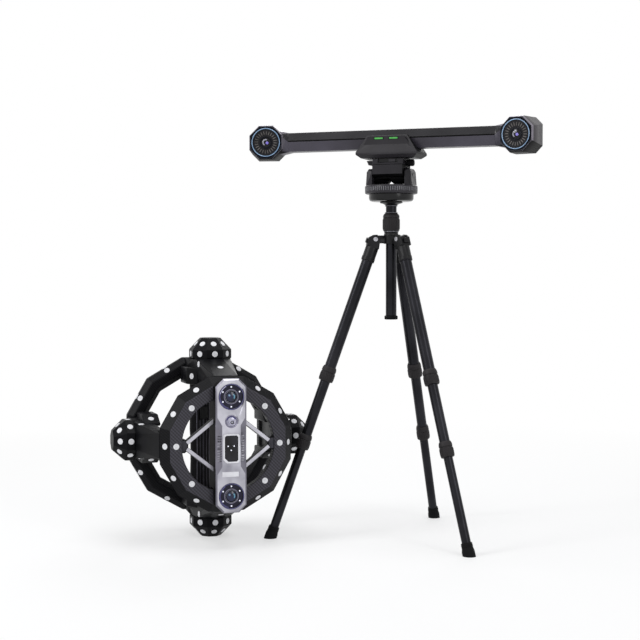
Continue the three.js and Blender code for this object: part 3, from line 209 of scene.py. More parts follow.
def painted(
    name, dark, light, roughness, metallic=0.0, coat=0.0, patch=30, grain=900, bump=0.04, spread=0.08, specular=0.5
):
    """A finish whose shade and gloss drift between two colours over the surface, with a fine grain."""
    material, tree, shader = new_material(name, roughness, metallic, coat, specular)
    cover = add_node(tree, "Group", node_tree=PAINT_GRAIN, Patch_Scale=patch, Grain_Scale=grain)
    pattern, height = cover.outputs["Patch"], cover.outputs["Grain"]
    drive(tree, shader, pattern, height, (dark, light), (0.3, 0.7), roughness, spread, bump, 0.0004)
    return material


def glass(name, dark, light, roughness, coat, patch, specular):
    """A smooth dark glass."""
    return painted(
        name, dark, light, roughness, coat=coat, patch=patch, grain=20, bump=0.0, spread=0.02, specular=specular
    )


def woven(name, dark, light, roughness, yarns, coat, specular):
    """Lacquered carbon cloth: two yarn shades in a diagonal twill under a clear coat."""
    material, tree, shader = new_material(name, roughness, 0.0, coat, specular)
    shader.inputs["Coat Roughness"].default_value = 0.25
    cloth = add_node(tree, "Group", node_tree=TWILL, Yarns=yarns, Turn=-SCANNER_TURN)
    pattern, height = cloth.outputs["Yarn"], cloth.outputs["Height"]
    drive(tree, shader, pattern, height, (dark, light), (0, 1), roughness, 0.08, 0.08, 0.0003)
    return material


def lit(name, dark, light, glow, strength):
    """A lamp window: a translucent cover with a steady glow that drifts a little over its length."""
    material = painted(name, dark, light, 0.35, coat=0.4, patch=120, bump=0.01)
    shader = material.node_tree.nodes["Principled BSDF"]
    shader.inputs["Emission Color"].default_value = colour(glow)
    shader.inputs["Emission Strength"].default_value = strength
    return material


CASTING = painted("cast_satin_black", "09090b", "121214", 0.38, grain=700, bump=0.08, specular=0.22)
TUBE = painted("anodised_tube_black", "1f1f22", "2d2d31", 0.32, 0.85, patch=14, grain=1500, bump=0.02, specular=0.2)
RUBBER = painted("grip_rubber", "09090b", "111113", 0.7, grain=500, bump=0.15, specular=0.12)
COLLAR_RUBBER = painted("collar_rubber", "161416", "232022", 0.55, grain=500, bump=0.12, specular=0.25)
STEEL = painted("bright_steel", "a2a2a8", "c6c6ca", 0.3, 1.0, patch=60, grain=1200, bump=0.02)
HUB_STEEL = painted("hub_ring_grey", "4c4c51", "66666c", 0.4, 0.6, patch=60, grain=1200, bump=0.02)
HEAD_GREY = painted("head_dark_grey", "1b1a1d", "27252a", 0.4, 0.2, grain=800, bump=0.05, specular=0.25)
# Painted shade: a near-black copy of the head grey for the cradle below the tilt axle.
HEAD_SHADE = painted("head_underside_painted_shade", "040405", "08080a", 0.6, grain=800, bump=0.05, specular=0.1)
BASE_BLACK = painted("pan_base_black", "060607", "0c0c0e", 0.22, bump=0.02, specular=0.3)
DIAL_GREY = painted("dial_grey", "232226", "312f34", 0.4, 0.2, patch=24, bump=0.04, specular=0.3)
TRACKER_GREY = painted("tracker_violet_grey", "1f1d21", "2a282c", 0.42, patch=18, grain=1400, bump=0.05, specular=0.28)
# Painted shade: a near-black copy of the tracker grey for the housing's end facets and the heads' undersides.
HOUSING_SHADE = painted("housing_painted_shade", "070709", "0d0d0f", 0.5, patch=18, grain=1400, bump=0.05, specular=0.12)
HEAD_SHELL = painted("camera_head_grey", "2a282c", "3b383d", 0.34, 0.4, patch=18, grain=1400, bump=0.04, specular=0.35)
# Painted highlight: a much lighter copy of the head grey for the heads' sloped front facets, standing in for light
# caught along the front edge.
HEAD_EDGE_HIGHLIGHT = painted("camera_head_painted_highlight", "5f5b64", "98939e", 0.35, 0.5, patch=12, grain=1400, bump=0.02)
BAR_UPPER = painted("bar_upper_black", "141317", "222125", 0.28, patch=10, grain=1600, bump=0.02, specular=0.28)
BAR_LOWER = painted("bar_lower_grey", "35323a", "4a4752", 0.36, patch=9, grain=1600, bump=0.03, specular=0.3)
# Painted shade: near black in the groove between the bar's upper and lower halves.
BAR_GROOVE_SHADE = painted("bar_groove_painted_shade", "040405", "09090b", 0.5, specular=0.1)
DIAL_PAINT = painted("dial_mark_paint", "85858a", "a3a3a7", 0.6, patch=50)
BEZEL = painted("lens_bezel_black", "070810", "0e121e", 0.34, patch=60, specular=0.15)
TRACKER_BOARD = painted("tracker_lens_board", "19191c", "242326", 0.5, patch=80, specular=0.12)
TRACKER_DASH = painted("tracker_lens_dash", "454240", "6b6866", 0.45, patch=45, specular=0.2)
# A lit ring round the tracker lenses; its glow also serves the painted highlight spot on each scanner lens glass.
BLUE_RING = lit("lens_light_ring_and_painted_glint", "6685a6", "8eaccb", "7d9cbe", 0.06)
SCANNER_BOARD = painted("scanner_lens_board", "171723", "25243a", 0.35, patch=80, specular=0.2)
# A lit ring round the scanner lenses; its glow also serves the painted violet sheen on the laser's cover.
VIOLET_RING = lit("scanner_lens_ring_and_painted_sheen", "3a3969", "53518a", "4a4880", 0.05)
# A pale ring inside the laser, also used for the painted highlight arc on the top lens's ring.
PALE_RING = painted("pale_ring_and_painted_glint", "b9b6d4", "dedcf0", 0.3, coat=0.4, patch=200)
NAVY_GLASS = glass("coated_lens_glass", "070b22", "16204a", 0.08, 0.35, 90, 0.3)
BLACK_GLASS = glass("dark_lens_glass", "020204", "08080e", 0.1, 0.25, 90, 0.15)
LASER_GLASS = painted("laser_cover_silver", "8f8da2", "c4c3d0", 0.25, 0.3, coat=0.3, patch=120, specular=0.4)
# Painted reflections: colours that stand in for light reflected by lens glass. The grey one also colours the scanner
# barrels' bright edge and the laser's core.
CYAN_PAINTED_GLINT = painted("lens_cyan_painted_glint", "3d7f9e", "6fb3cc", 0.2, coat=0.6, patch=300)
VIOLET_PAINTED_GLINT = painted("lens_violet_painted_glint", "6a5cc4", "9488e4", 0.2, coat=0.6, patch=300)
GREY_TRIM_AND_GLINT = painted("lens_grey_trim_and_painted_glint", "7b7b86", "a5a5b2", 0.25, coat=0.5, patch=300)
GREEN_LAMP = lit("status_lamp_green", "2f8a33", "47a846", "38a03a", 0.22)
CAGE_FACE = woven("ring_face_carbon", "27262b", "3f3d46", 0.42, 900.0, 0.06, 0.25)
CAGE = woven("cage_carbon_black", "0a0a0c", "17171a", 0.48, 1100.0, 0.03, 0.08)
CAGE_PLAIN = painted("cage_moulded_black", "0a0a0c", "131316", 0.4, bump=0.06, specular=0.06)
MARKER_WHITE = painted("marker_dot_white", "d8d8dc", "efeff2", 0.55, patch=300, bump=0.03)
SHELL_SILVER = painted("shell_silver_violet", "8c8b95", "d0cfd8", 0.34, 0.7, patch=22, grain=1600, bump=0.02)
# Painted shade: a darker copy of the shell silver for the shell's sloped side facets.
SHELL_SHADE = painted("shell_waist_painted_shade", "5d5b66", "86848f", 0.32, 0.6, patch=16, grain=1600, bump=0.02)
LENS_GREY = painted("lens_ring_grey", "6f6c80", "928fa3", 0.35, 0.4, patch=60)
PALE_PLATE = painted("bare_plate_pale", "d9d8df", "ececf1", 0.4, 0.1, patch=40)
BOSS_GREY = painted("boss_cover_grey", "232228", "3a3940", 0.36, 0.3, patch=50, specular=0.25)
BRACE_SILVER = painted("brace_silver", "a9a7b2", "d3d2da", 0.35, 0.5, patch=22, grain=1400, bump=0.02)
SLOT_BLACK = painted("slot_black", "050506", "0a0a0c", 0.6, specular=0.1)
WINDOW_GLASS = glass("sensor_window_glass", "050506", "26252b", 0.12, 0.2, 26, 0.2)
WINDOW_FRAME = painted("sensor_window_frame", "dddce3", "f0f0f4", 0.4, 0.1, patch=40)
WHITE_LAMP = lit("white_lamp", "e4e6f2", "f6f7ff", "eef0ff", 0.5)
COLUMN_BLACK = painted("grip_column_black", "0d0c0f", "161519", 0.55, patch=20, grain=600, bump=0.08, specular=0.14)
BACK_BLACK = painted("camera_back_black", "040405", "08080a", 0.6, patch=20, grain=600, bump=0.08, specular=0.06)
COLUMN_LINE = painted("grip_column_line", "55525d", "716e7b", 0.4, patch=60)


# Shapes


def outward(shape):
    """The same shape with its faces turned outward."""
    bmesh.ops.recalc_face_normals(shape, faces=shape.faces[:])
    return shape


def turned(profile, segments=ROUND):
    """A shape spun round Z from (radius, height) pairs. A profile that starts off the axis closes on itself."""
    bm = bmesh.new()
    verts = [bm.verts.new((r, 0, z)) for r, z in profile]
    if profile[0][0]:
        verts.append(verts[0])
    for pair in zip(verts, verts[1:]):
        bm.edges.new(pair)
    geom = bm.verts[:] + bm.edges[:]
    bmesh.ops.spin(bm, geom=geom, cent=(0, 0, 0), axis=(0, 0, 1), angle=FULL_TURN, steps=segments, use_merge=True)
    bmesh.ops.remove_doubles(bm, verts=bm.verts[:], dist=0.002)
    return outward(bm)


def block(low, high):
    """A box from its lowest and highest corners."""
    bm = bmesh.new()
    low, high = Vector(low), Vector(high)
    bmesh.ops.create_cube(bm, size=1, matrix=at(*(low + high) / 2) @ Matrix.Diagonal((*(high - low), 1)))
    return bm


def slab(outline, depth):
    """A flat outline of (x, z) points in the plane Y = 0, thickened towards +Y."""
    bm = bmesh.new()
    face = bm.faces.new([bm.verts.new((x, 0, z)) for x, z in outline])
    grown = bmesh.ops.extrude_face_region(bm, geom=[face])
    bmesh.ops.translate(bm, vec=(0, depth, 0), verts=[v for v in grown["geom"] if isinstance(v, bmesh.types.BMVert)])
    return outward(bm)


def solid_copy(node):
    """A copy of a CAD node's mesh in metres, merged, with its flat faces joined up."""
    bm = bmesh.new()
    bm.from_mesh(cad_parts[node].data)
    bmesh.ops.remove_doubles(bm, verts=bm.verts[:], dist=3e-6)
    bmesh.ops.dissolve_limit(bm, angle_limit=radians(0.6), verts=bm.verts[:], edges=bm.edges[:])
    return outward(bm)


def gather(shapes):
    """One bmesh from (bmesh, matrix) pairs. The shapes stay usable."""
    whole = bmesh.new()
    for shape, matrix in shapes:
        sheet = bpy.data.meshes.new("gather")
        shape.to_mesh(sheet)
        sheet.transform(matrix)
        whole.from_mesh(sheet)
        bpy.data.meshes.remove(sheet)
    return whole


def joined(*shapes):
    """One bmesh from shapes that stand in place."""
    return gather([(shape, Matrix.Identity(4)) for shape in shapes])


def moved(shape, matrix):
    """The same shape at another place."""
    bmesh.ops.transform(shape, matrix=matrix, verts=shape.verts[:])
    return shape


def close_up(shape, edges=None):
    """Fills a shape's open edge loops, or the given ones, and turns its faces outward."""
    bmesh.ops.holes_fill(shape, edges=edges or [e for e in shape.edges if e.is_boundary])
    outward(shape)


def cut_off(shape, point, normal):
    """Cuts away what lies on the normal's side of a plane, and closes the cut."""
    geom = shape.verts[:] + shape.edges[:] + shape.faces[:]
    cut = bmesh.ops.bisect_plane(shape, geom=geom, plane_co=point, plane_no=normal, clear_outer=True)
    close_up(shape, [e for e in cut["geom_cut"] if isinstance(e, bmesh.types.BMEdge)])


def rounded(shape, width, angle=None, keep=None):
    """Rounds a shape's edges, or those sharper than an angle that pass a test, in the shape's own units."""
    edges = shape.edges[:]
    if angle is not None:
        sharp = radians(angle)
        edges = [e for e in edges if len(e.link_faces) == 2 and e.calc_face_angle() > sharp and keep(e)]
    bmesh.ops.bevel(
        shape, geom=edges, offset=width, offset_type="OFFSET", affect="EDGES", segments=3, profile=0.5, material=-1,
        clamp_overlap=True,
    )


def ring_of(shape, count, axis="Z", first=0.0):
    """Copies of a shape, evenly round an axis."""
    return gather([(shape, turned_by(first + i * FULL_TURN / count, axis)) for i in range(count)])


def flutes(profile, radius, count):
    """Small ribs for the fingers, evenly round Z."""
    return ring_of(moved(turned(profile, 8), at(radius, 0, 0)), count)


def facing(point, normal):
    """A frame at a point with its Z along the normal."""
    return Matrix.Translation(point) @ Vector(normal).to_track_quat("Z", "Y").to_matrix().to_4x4()


def new_object(name, data):
    obj = bpy.data.objects.new(name, data)
    bpy.context.scene.collection.objects.link(obj)
    return obj


def mark_edges(shape, angle, shortest, keep):
    """Marks the edges that the Bevel modifier rounds: sharper than an angle, long enough, and kept by a test."""
    weight = shape.edges.layers.float.new("bevel_weight_edge")
    for edge in shape.edges:
        sharp = len(edge.link_faces) == 2 and edge.calc_face_angle() > radians(angle)
        if sharp and edge.calc_length() > shortest and (keep is None or all(keep(v.co) for v in edge.verts)):
            edge[weight] = 1.0


def piece(name, shape, place, body, slot, material, replaces=(), edge=0.0, angle=32, segments=3, marked=False):
    """Stores a shape as a finished piece: placed in metres, smooth within its angle, and with its edges rounded."""
    bmesh.ops.transform(shape, matrix=place, verts=shape.verts[:])
    mesh = bpy.data.meshes.new(name)
    shape.to_mesh(mesh)
    shape.free()
    materials = material if isinstance(material, (list, tuple)) else [material]
    for entry in materials:
        mesh.materials.append(entry)
    mesh.shade_smooth()
    mesh.set_sharp_from_angle(angle=radians(angle))
    obj = new_object(name, mesh)
    if edge:
        rounding = obj.modifiers.new("edges", "BEVEL")
        rounding.width = edge * MM
        rounding.segments = segments
        rounding.limit_method = "WEIGHT" if marked else "ANGLE"
        rounding.angle_limit = radians(angle)
        rounding.use_clamp_overlap = False
        rounding.harden_normals = True
    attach(obj, body)
    if replaces:
        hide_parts(*replaces)
    return obj


def paint_faces(shape, materials, finish):
    """Gives each face the one of the materials that finish(face) picks."""
    for face in shape.faces:
        face.material_index = materials.index(finish(face))


def dressed(name, node, body, slot, material, edge, angle=32, shortest=0.0, keep=None, paint=None):
    """A CAD node's own shape with its longer edges rounded, standing for the node.

    keep tests a corner's place in metres, and paint picks the material of a face.
    """
    shape = solid_copy(node)
    mark_edges(shape, angle, shortest * MM, keep)
    if paint:
        paint_faces(shape, material, paint)
    return piece(name, shape, Matrix.Identity(4), body, slot, material, [node], edge, angle, marked=True)


# Stand


def tube_profile(outer, wall, start, end):
    inner, lip = outer - wall, 0.3
    return [
        (inner, -start), (outer - lip, -start), (outer, -start - lip), (outer, lip - end), (outer - lip, -end),
        (inner, -end),
    ]


def lock_collar(wide, narrow, start):
    """A rubber twist lock: its lower part is fluted for the fingers, and its upper part holds the wider tube."""
    seat, bore = wide + 0.3, narrow + 0.3
    outer = seat + 3
    end, step = start + 31, start + 11.3
    body = [
        (bore, -end), (outer - 1.8, -end), (outer - 0.5, 0.8 - end), (outer, 2.2 - end), (outer, -step - 1.4),
        (outer - 0.9, -step - 0.6), (outer - 0.9, 0.6 - step), (outer, 1.4 - step), (outer - 0.4, -start - 4.4),
        (outer - 1.4, -start - 1.6), (seat + 0.8, -start), (seat, -start), (seat, -step), (bore, -step),
    ]
    rib = [(0, 3.4 - end), (0.75, 4.4 - end), (0.75, -step - 3.4), (0, -step - 2.4)]
    return joined(turned(body), flutes(rib, outer - 0.25, 20))


def rubber_foot():
    """A ribbed foot whose sole is cut level with the floor."""
    bore, neck, flare, seat, start, end = 9.3, 10.9, 12.5, 634.3, 620, 665
    rings = []
    for i in range(2):
        top = -start - 3.4 - 3.2 * i
        rings += [(neck, top), (neck + 0.5, top - 0.7), (neck + 0.5, top - 1.6), (neck, top - 2.3)]
    profile = [(0, -seat), (bore, -seat), (bore, -start), (neck - 0.5, -start), (neck, -start - 0.6)]
    profile += rings + [(flare - 0.7, -start - 13), (flare, -start - 16), (flare, -end), (0, -end)]
    shape = turned(profile)
    sole = (0, 0, -HINGE_HEIGHT / cos(LEG_SPREAD))
    cut_off(shape, sole, (-sin(LEG_SPREAD), 0, -cos(LEG_SPREAD)))
    return shape


def hinge_pin():
    """A hinge screw's two bright heads with round sockets, on a shaft along Z."""
    shaft = turned([(0, -12.3), (4, -12.3), (4, 12.3), (0, 12.3)])
    head = turned([(0, 12.4), (4.6, 12.4), (4.6, 13.3), (4.2, 13.8), (2.4, 13.8), (2, 13.3), (2, 12.8), (0, 12.8)])
    return joined(shaft, ring_of(head, 2, "X"))


def leg(name):
    """A leg: its crown with pin, stop and ring, three tubes, two twist locks and the foot."""
    place = STAND @ turned_by(LEG_TURNS[name], "Z") @ at(HINGE_RADIUS, 0, HINGE_HEIGHT) @ turned_by(-LEG_SPREAD, "Y")
    crown, low_section = f"leg_{name}", f"lower_section_{name}"
    dressed(f"crown_{name}", f"{crown}_crown", crown, "cast_black", CASTING, 0.8, shortest=4)
    dressed(f"stop_tab_{name}", f"{crown}_angle_stop", f"angle_stop_{name}", "cast_black", CASTING, 0.6)
    piece(f"hinge_pin_{name}", hinge_pin(), place @ Z_TO_Y, crown, "bare_steel", STEEL, [f"{crown}_pin"])
    upper, middle, lower = 11.6, 10.3, 9.0
    tubes = (
        ("upper", upper, 22.3, 286, crown),
        ("middle", middle, 196, 432, f"middle_section_{name}"),
        ("lower", lower, 392, 634, low_section),
    )
    for part, radius, start, end, body in tubes:
        shape = turned(tube_profile(radius, 1, start, end))
        piece(f"{part}_tube_{name}", shape, place, body, "tube_black", TUBE, [f"{crown}_{part}_tube"])
    for part, wide, narrow, start in (("upper", upper, middle, 275), ("lower", middle, lower, 421)):
        shape, body = lock_collar(wide, narrow, start), f"{part}_lock_{name}"
        piece(f"{part}_collar_{name}", shape, place, body, "rubber", COLLAR_RUBBER, [f"{crown}_{part}_lock"])
    piece(f"rubber_foot_{name}", rubber_foot(), place, low_section, "rubber", RUBBER, [f"{crown}_foot"])
    ring = turned([(11.7, -46.1), (13.4, -46.1), (13.8, -46.6), (13.4, -47.3), (11.7, -47.3)])
    piece(f"crown_ring_{name}", ring, place, crown, "bare_steel", HEAD_GREY)


def column():
    """The hub with its rings, and the column's lock, tube, neck rings, top plate and lower cap."""
    hinge = STAND @ at(0, 0, HINGE_HEIGHT)
    dressed("hub", "spider", "spider", "cast_black", CASTING, 0.7, angle=28, shortest=4)
    for name, low, finish in (("hub_ring_lower", 7.9, CASTING), ("hub_ring_upper", 15.2, HUB_STEEL)):
        high = low + 1.7
        ring = turned([(14.3, low), (15.1, low), (15.4, low + 0.5), (15.1, high), (14.3, high)])
        piece(name, ring, hinge, "spider", "bare_steel", finish)
    bore = 11.3
    collar = [
        (bore, 17.3), (15.6, 17.3), (16.6, 18.1), (17, 19.5), (17, 42.4), (16.1, 43.2), (16.1, 44), (17, 44.8),
        (16.6, 48.2), (14.6, 51.6), (12.4, 53.3), (bore, 53.3),
    ]
    grip = joined(turned(collar), flutes([(0, 21), (0.8, 22), (0.8, 40), (0, 41)], 16.8, 24))
    piece("column_collar", grip, hinge, "column_lock", "rubber", COLLAR_RUBBER, ["column_lock"])
    tube = turned(tube_profile(11, 1.8, -69.6, 155))
    piece("column_tube", tube, hinge, "column", "tube_black", TUBE, ["centre_column"])
    necks = (("neck_ring_lower", 53.4, bore, "column_lock"), ("neck_ring_upper", 67.4, 10.6, "column"))
    for name, low, inner, body in necks:
        high = low + 1.8
        ring = turned([(inner, low), (12.6, low), (13.1, low + 0.5), (13.1, high - 0.5), (12.6, high), (inner, high)])
        piece(name, ring, hinge, body, "tube_black", HUB_STEEL)
    plate = [
        (0, 55.6), (8.9, 55.6), (8.9, 69.9), (12.6, 69.9), (13.2, 70.5), (16.5, 72.4), (22.4, 73.9), (23, 74.6),
        (23, 76.4), (22.5, 76.9), (0, 76.9),
    ]
    piece("top_plate", turned(plate), hinge, "column", "cast_black", CASTING, ["column_plate"])
    cap = [
        (0, -163.3), (11.8, -163.3), (13, -162.8), (13.6, -161.6), (13.6, -157.2), (13.1, -155.9), (12.4, -155.3),
        (8.9, -155.3), (8.9, -141), (0, -141),
    ]
    piece("lower_cap", turned(cap), hinge, "column", "rubber", RUBBER, ["column_cap"])


# Pan and tilt head


def dial_marks():
    """Fine marks every 5 degrees round the dial, with every third one a little longer."""
    marks, top, count = [], DIAL_TOP - 3.6, 72
    for i in range(count):
        height = 8.4 if i % 3 == 0 else 7.4
        mark = block((-0.36, -DIAL_RADIUS - 0.12, top - height), (0.36, -DIAL_RADIUS + 0.3, top))
        marks.append((mark, turned_by(i * FULL_TURN / count, "Z")))
    return gather(marks)


def head():
    """The pan base, the dial with its cheeks, the tilt pin, the cradle and the clamp with its plate."""
    low, top = PAN_BASE_BOTTOM, PAN_BASE_BOTTOM + 14.7
    base = [
        (0, low), (39.5, low), (42.8, low + 1.1), (44.8, low + 3.4), (45.5, low + 6.4), (45.5, top - 0.6), (44.9, top),
        (0, top),
    ]
    piece("pan_base_disc", turned(base, FINE), STAND, "column", "head_grey", BASE_BLACK, ["pan_base"])
    low, top, rim = DIAL_BOTTOM, DIAL_TOP, DIAL_RADIUS
    dial = [
        (0, low), (50.9, low), (52.6, low + 0.7), (rim, low + 2.2), (rim, top - 2.6), (53.1, top - 1.2),
        (51.9, top - 0.4), (50.4, top), (40, top), (39.2, top - 0.5), (0, top - 0.5),
    ]
    cheeks = solid_copy("pan_yoke")
    cut_off(cheeks, (0, 0, (DIAL_TOP - 0.45) * MM), (0, 0, -1))
    piece("dial", turned(dial, FINE), STAND, "pan", "head_grey", DIAL_GREY, ["pan_yoke"])
    mark_edges(cheeks, 28, 6 * MM, None)
    piece("yoke_cheeks", cheeks, Matrix.Identity(4), "pan", "head_grey", HEAD_GREY, edge=1.2, marked=True)
    piece("dial_marks", dial_marks(), STAND, "pan", "head_grey", DIAL_PAINT)
    axle = turned([(0, -47.5), (4.4, -47.5), (5, -46.9), (5, 46.9), (4.4, 47.5), (0, 47.5)])
    tilt = STAND @ at(0, 0, TILT_HEIGHT) @ Z_TO_X
    piece("tilt_pin", axle, tilt, "pan", "bare_steel", BASE_BLACK, ["tilt_axle"])
    under = (TILT_HEIGHT + 0.5) * MM
    # Painted shade: the cradle's faces below the tilt axle get the near-black copy of the head grey.
    dressed(
        "cradle", "tilt_cradle", "tilt", "head_grey", [HEAD_GREY, HEAD_SHADE], 1.0, shortest=6,
        paint=lambda face: HEAD_SHADE if face.calc_center_median().z < under else HEAD_GREY,
    )
    dressed("clamp", "clamp_body", "tilt", "head_grey", HEAD_GREY, 0.7, shortest=4)
    end_pad = block((2, -26.6, GROOVE_FLOOR + 0.8), (16, -25, GROOVE_FLOOR + 7.2))
    piece("plate_end_pad", end_pad, STAND, "tracker", "cast_black", DIAL_GREY, edge=0.6)
    place = STAND @ at(32.3, 0, GROOVE_FLOOR) @ Z_TO_X
    piece("clamp_turn_knob", clamp_knob(), place, "clamp_knob", "rubber", RUBBER, ["clamp_knob"])
    dressed("groove_plate", "mount_plate", "tracker", "cast_black", CASTING, 0.5)


def clamp_knob():
    """A knurled knob that grows from Z = 0, with its stud behind."""
    profile = [(0, -7.6), (2.4, -7.6), (2.4, 0), (5.6, 0), (6.4, 0.7), (6.4, 14.6), (5.8, 15.6), (4.4, 16), (0, 16)]
    return joined(turned(profile), flutes([(0, 1), (0.6, 1.7), (0.6, 14), (0, 14.8)], 6.4, 18))


# Tracker


def arc(inner, outer, first, last, y, proud=0.35, steps=24):
    """A raised band that faces -Y, swept about the Y axis between two clock angles, in degrees from the top."""
    bm = bmesh.new()
    slope, foot, top = (outer - inner) * 0.25, y + 0.3, y - proud
    section = [(inner, foot), (inner, y), (inner + slope, top), (outer - slope, top), (outer, y), (outer, foot)]
    a = radians(first)
    face = bm.faces.new([bm.verts.new((r * sin(a), depth, r * cos(a))) for r, depth in section])
    geom = [face] + face.verts[:] + face.edges[:]
    bmesh.ops.spin(bm, geom=geom, cent=(0, 0, 0), axis=(0, 1, 0), angle=radians(last - first), steps=steps)
    bmesh.ops.remove_doubles(bm, verts=bm.verts[:], dist=0.002)
    return outward(bm)


def spot(radius, x, y, z):
    """A small domed disc that stands on the plane Y = y and faces -Y."""
    bm, height = bmesh.new(), 0.75
    place = facing((x, y + 0.3, z), (0, -1, 0)) @ at(0, 0, height / 2)
    bmesh.ops.create_cone(
        bm, cap_ends=True, segments=24, radius1=radius, radius2=radius * 0.8, depth=height, matrix=place
    )
    return bm


def light_ring(inner, outer):
    """A ring of light round a lens, a little proud of its mouth."""
    section = [(inner, 0.2), (outer, 0.2), (outer, -0.9), (outer - 0.3, -1.18), (inner + 0.3, -1.18), (inner, -0.9)]
    return turned(section, FINE)


def lens_part(name, shape, place, material, replaces=(), **edges):
    """A part of a lens or window: it rides on the unit that its name starts with."""
    body = "tracker" if name.startswith("tracker") else "scanner"
    piece(name, shape, place, body, "lens_cell", material, replaces, **edges)


def lens_cell(prefix, place, replaces, r, board, cover):
    """The parts that all the camera lenses share, from the mouth's radius: rim, board, barrel and crowned glass."""
    dish = [
        (0, 6.5), (r, 6.5), (r, -0.5), (r - 0.4, -1), (r - 1.9, -1), (r - 2.2, -0.7), (r - 2.2, 1.6), (12.5, 1.6),
        (0, 1.6),
    ]
    floor = [(12, 1.9), (r - 2, 1.9), (r - 2, 1.2), (12, 1.2)]
    barrel = [
        (9.9, 1.5), (12.5, 1.5), (12.5, -0.2), (12, -0.7), (11.3, -0.7), (10.9, -0.2), (10.5, 0.3), (9.9, 0.3),
    ]
    dome = [(0, 1.5), (10.1, 1.5), (10.1, 1), (8, 0.3), (5, -0.25), (2.5, -0.5), (0, -0.6)]
    lens_part(f"{prefix}_cell", turned(dish, FINE), place @ Z_TO_Y, BEZEL, replaces)
    for part, profile, material in (("board", floor, board), ("barrel", barrel, BEZEL), ("glass", dome, cover)):
        lens_part(f"{prefix}_{part}", turned(profile, FINE), place @ Z_TO_Y, material)


def tracker_lens(name, place):
    """A camera lens of the tracker: a pale blue ring, a board with radial dashes, and two painted reflections on the
    glass, a grey arc and a violet spot.
    """
    prefix, place = f"tracker_lens_{name}", place @ at(0, -HEAD_FRONT, 0)
    lens_cell(prefix, place, [prefix], 30.4, TRACKER_BOARD, BLACK_GLASS)
    lens_part(f"{prefix}_light_ring", light_ring(27.9, 29.7), place @ Z_TO_Y, BLUE_RING)
    dash = block((-0.95, 0.7, 16.2), (0.95, 1.5, 23.4))
    lens_part(f"{prefix}_dashes", ring_of(dash, 24, "Y", 0.06), place, TRACKER_DASH, edge=0.25, segments=1)
    # Painted reflections on the glass: a grey arc and a violet spot.
    lens_part(f"{prefix}_crescent", arc(4.2, 7, 205, 385, -0.15), place, GREY_TRIM_AND_GLINT)
    lens_part(f"{prefix}_glint", spot(3.3, 2.7, -0.35, -1), place, VIOLET_PAINTED_GLINT)


def head_casing(node, place, opening):
    """A camera head's casing: outline rounded, and front plate cut round for the lens, with a shallow pocket."""
    shape = moved(solid_copy(node), place.inverted())
    bore, depth = 31.4, 7
    pocket = [v for v in shape.verts if hypot(v.co.x, v.co.z) < bore and v.co.y < -15]
    bmesh.ops.delete(shape, geom=pocket, context="VERTS")
    plate = [f for f in shape.faces if f.normal.y < -0.99 and f.calc_center_median().y < 2 - HEAD_FRONT]
    bmesh.ops.delete(shape, geom=plate, context="FACES")
    close_up(shape)
    rounded(shape, 4.5, 24, lambda edge: abs(edge.verts[0].co.y - edge.verts[1].co.y) > 0.8 * edge.calc_length())
    rounded(shape, 1.2, 40, lambda edge: all(v.co.y < 1 - HEAD_FRONT for v in edge.verts))
    front = max((f for f in shape.faces if f.normal.y < -0.99), key=lambda f: f.calc_area())
    outline = front.edges[:]
    bmesh.ops.delete(shape, geom=[front], context="FACES_ONLY")
    rim = upright_loop(shape, opening, FINE, -HEAD_FRONT)
    bmesh.ops.triangle_fill(shape, edges=outline + rim, use_beauty=True)
    wall = bmesh.ops.extrude_edge_only(shape, edges=rim)["geom"]
    bmesh.ops.translate(shape, vec=(0, depth, 0), verts=[v for v in wall if isinstance(v, bmesh.types.BMVert)])
    close_up(shape)
    return shape


def tracker_head(side, name):
    """A camera head, turned in towards the other one, and its lens. Its undersides carry painted shade and its sloped
    front facets a painted highlight.
    """
    place = TRACKER @ at(side * LENS_SPACING / 2, 0, 0) @ turned_by(-side * TOE_IN, "Z")
    node = f"tracker_head_{name}"

    # Picks each face's colour: painted shade (near black) on the undersides, a painted highlight on the sloped front
    # facets, the bar's colours on the neck, and the lens plate's own dark navy.
    def finish(face):
        middle, normal = face.calc_center_median(), face.normal
        if -side * middle.x > 36:
            return BAR_UPPER if normal.z > 0.2 else BAR_LOWER
        if normal.y < -0.95:
            return BEZEL
        if normal.z < -0.45:
            return HOUSING_SHADE
        return HEAD_EDGE_HIGHLIGHT if normal.y < -0.3 else HEAD_SHELL

    casing = head_casing(node, place, 30.6)
    materials = [HEAD_SHELL, BEZEL, BAR_UPPER, BAR_LOWER, HOUSING_SHADE, HEAD_EDGE_HIGHLIGHT]
    paint_faces(casing, materials, finish)
    piece(f"camera_head_{name}", casing, place, "tracker", "tracker_grey", materials, [node], angle=40)
    tracker_lens(name, place)


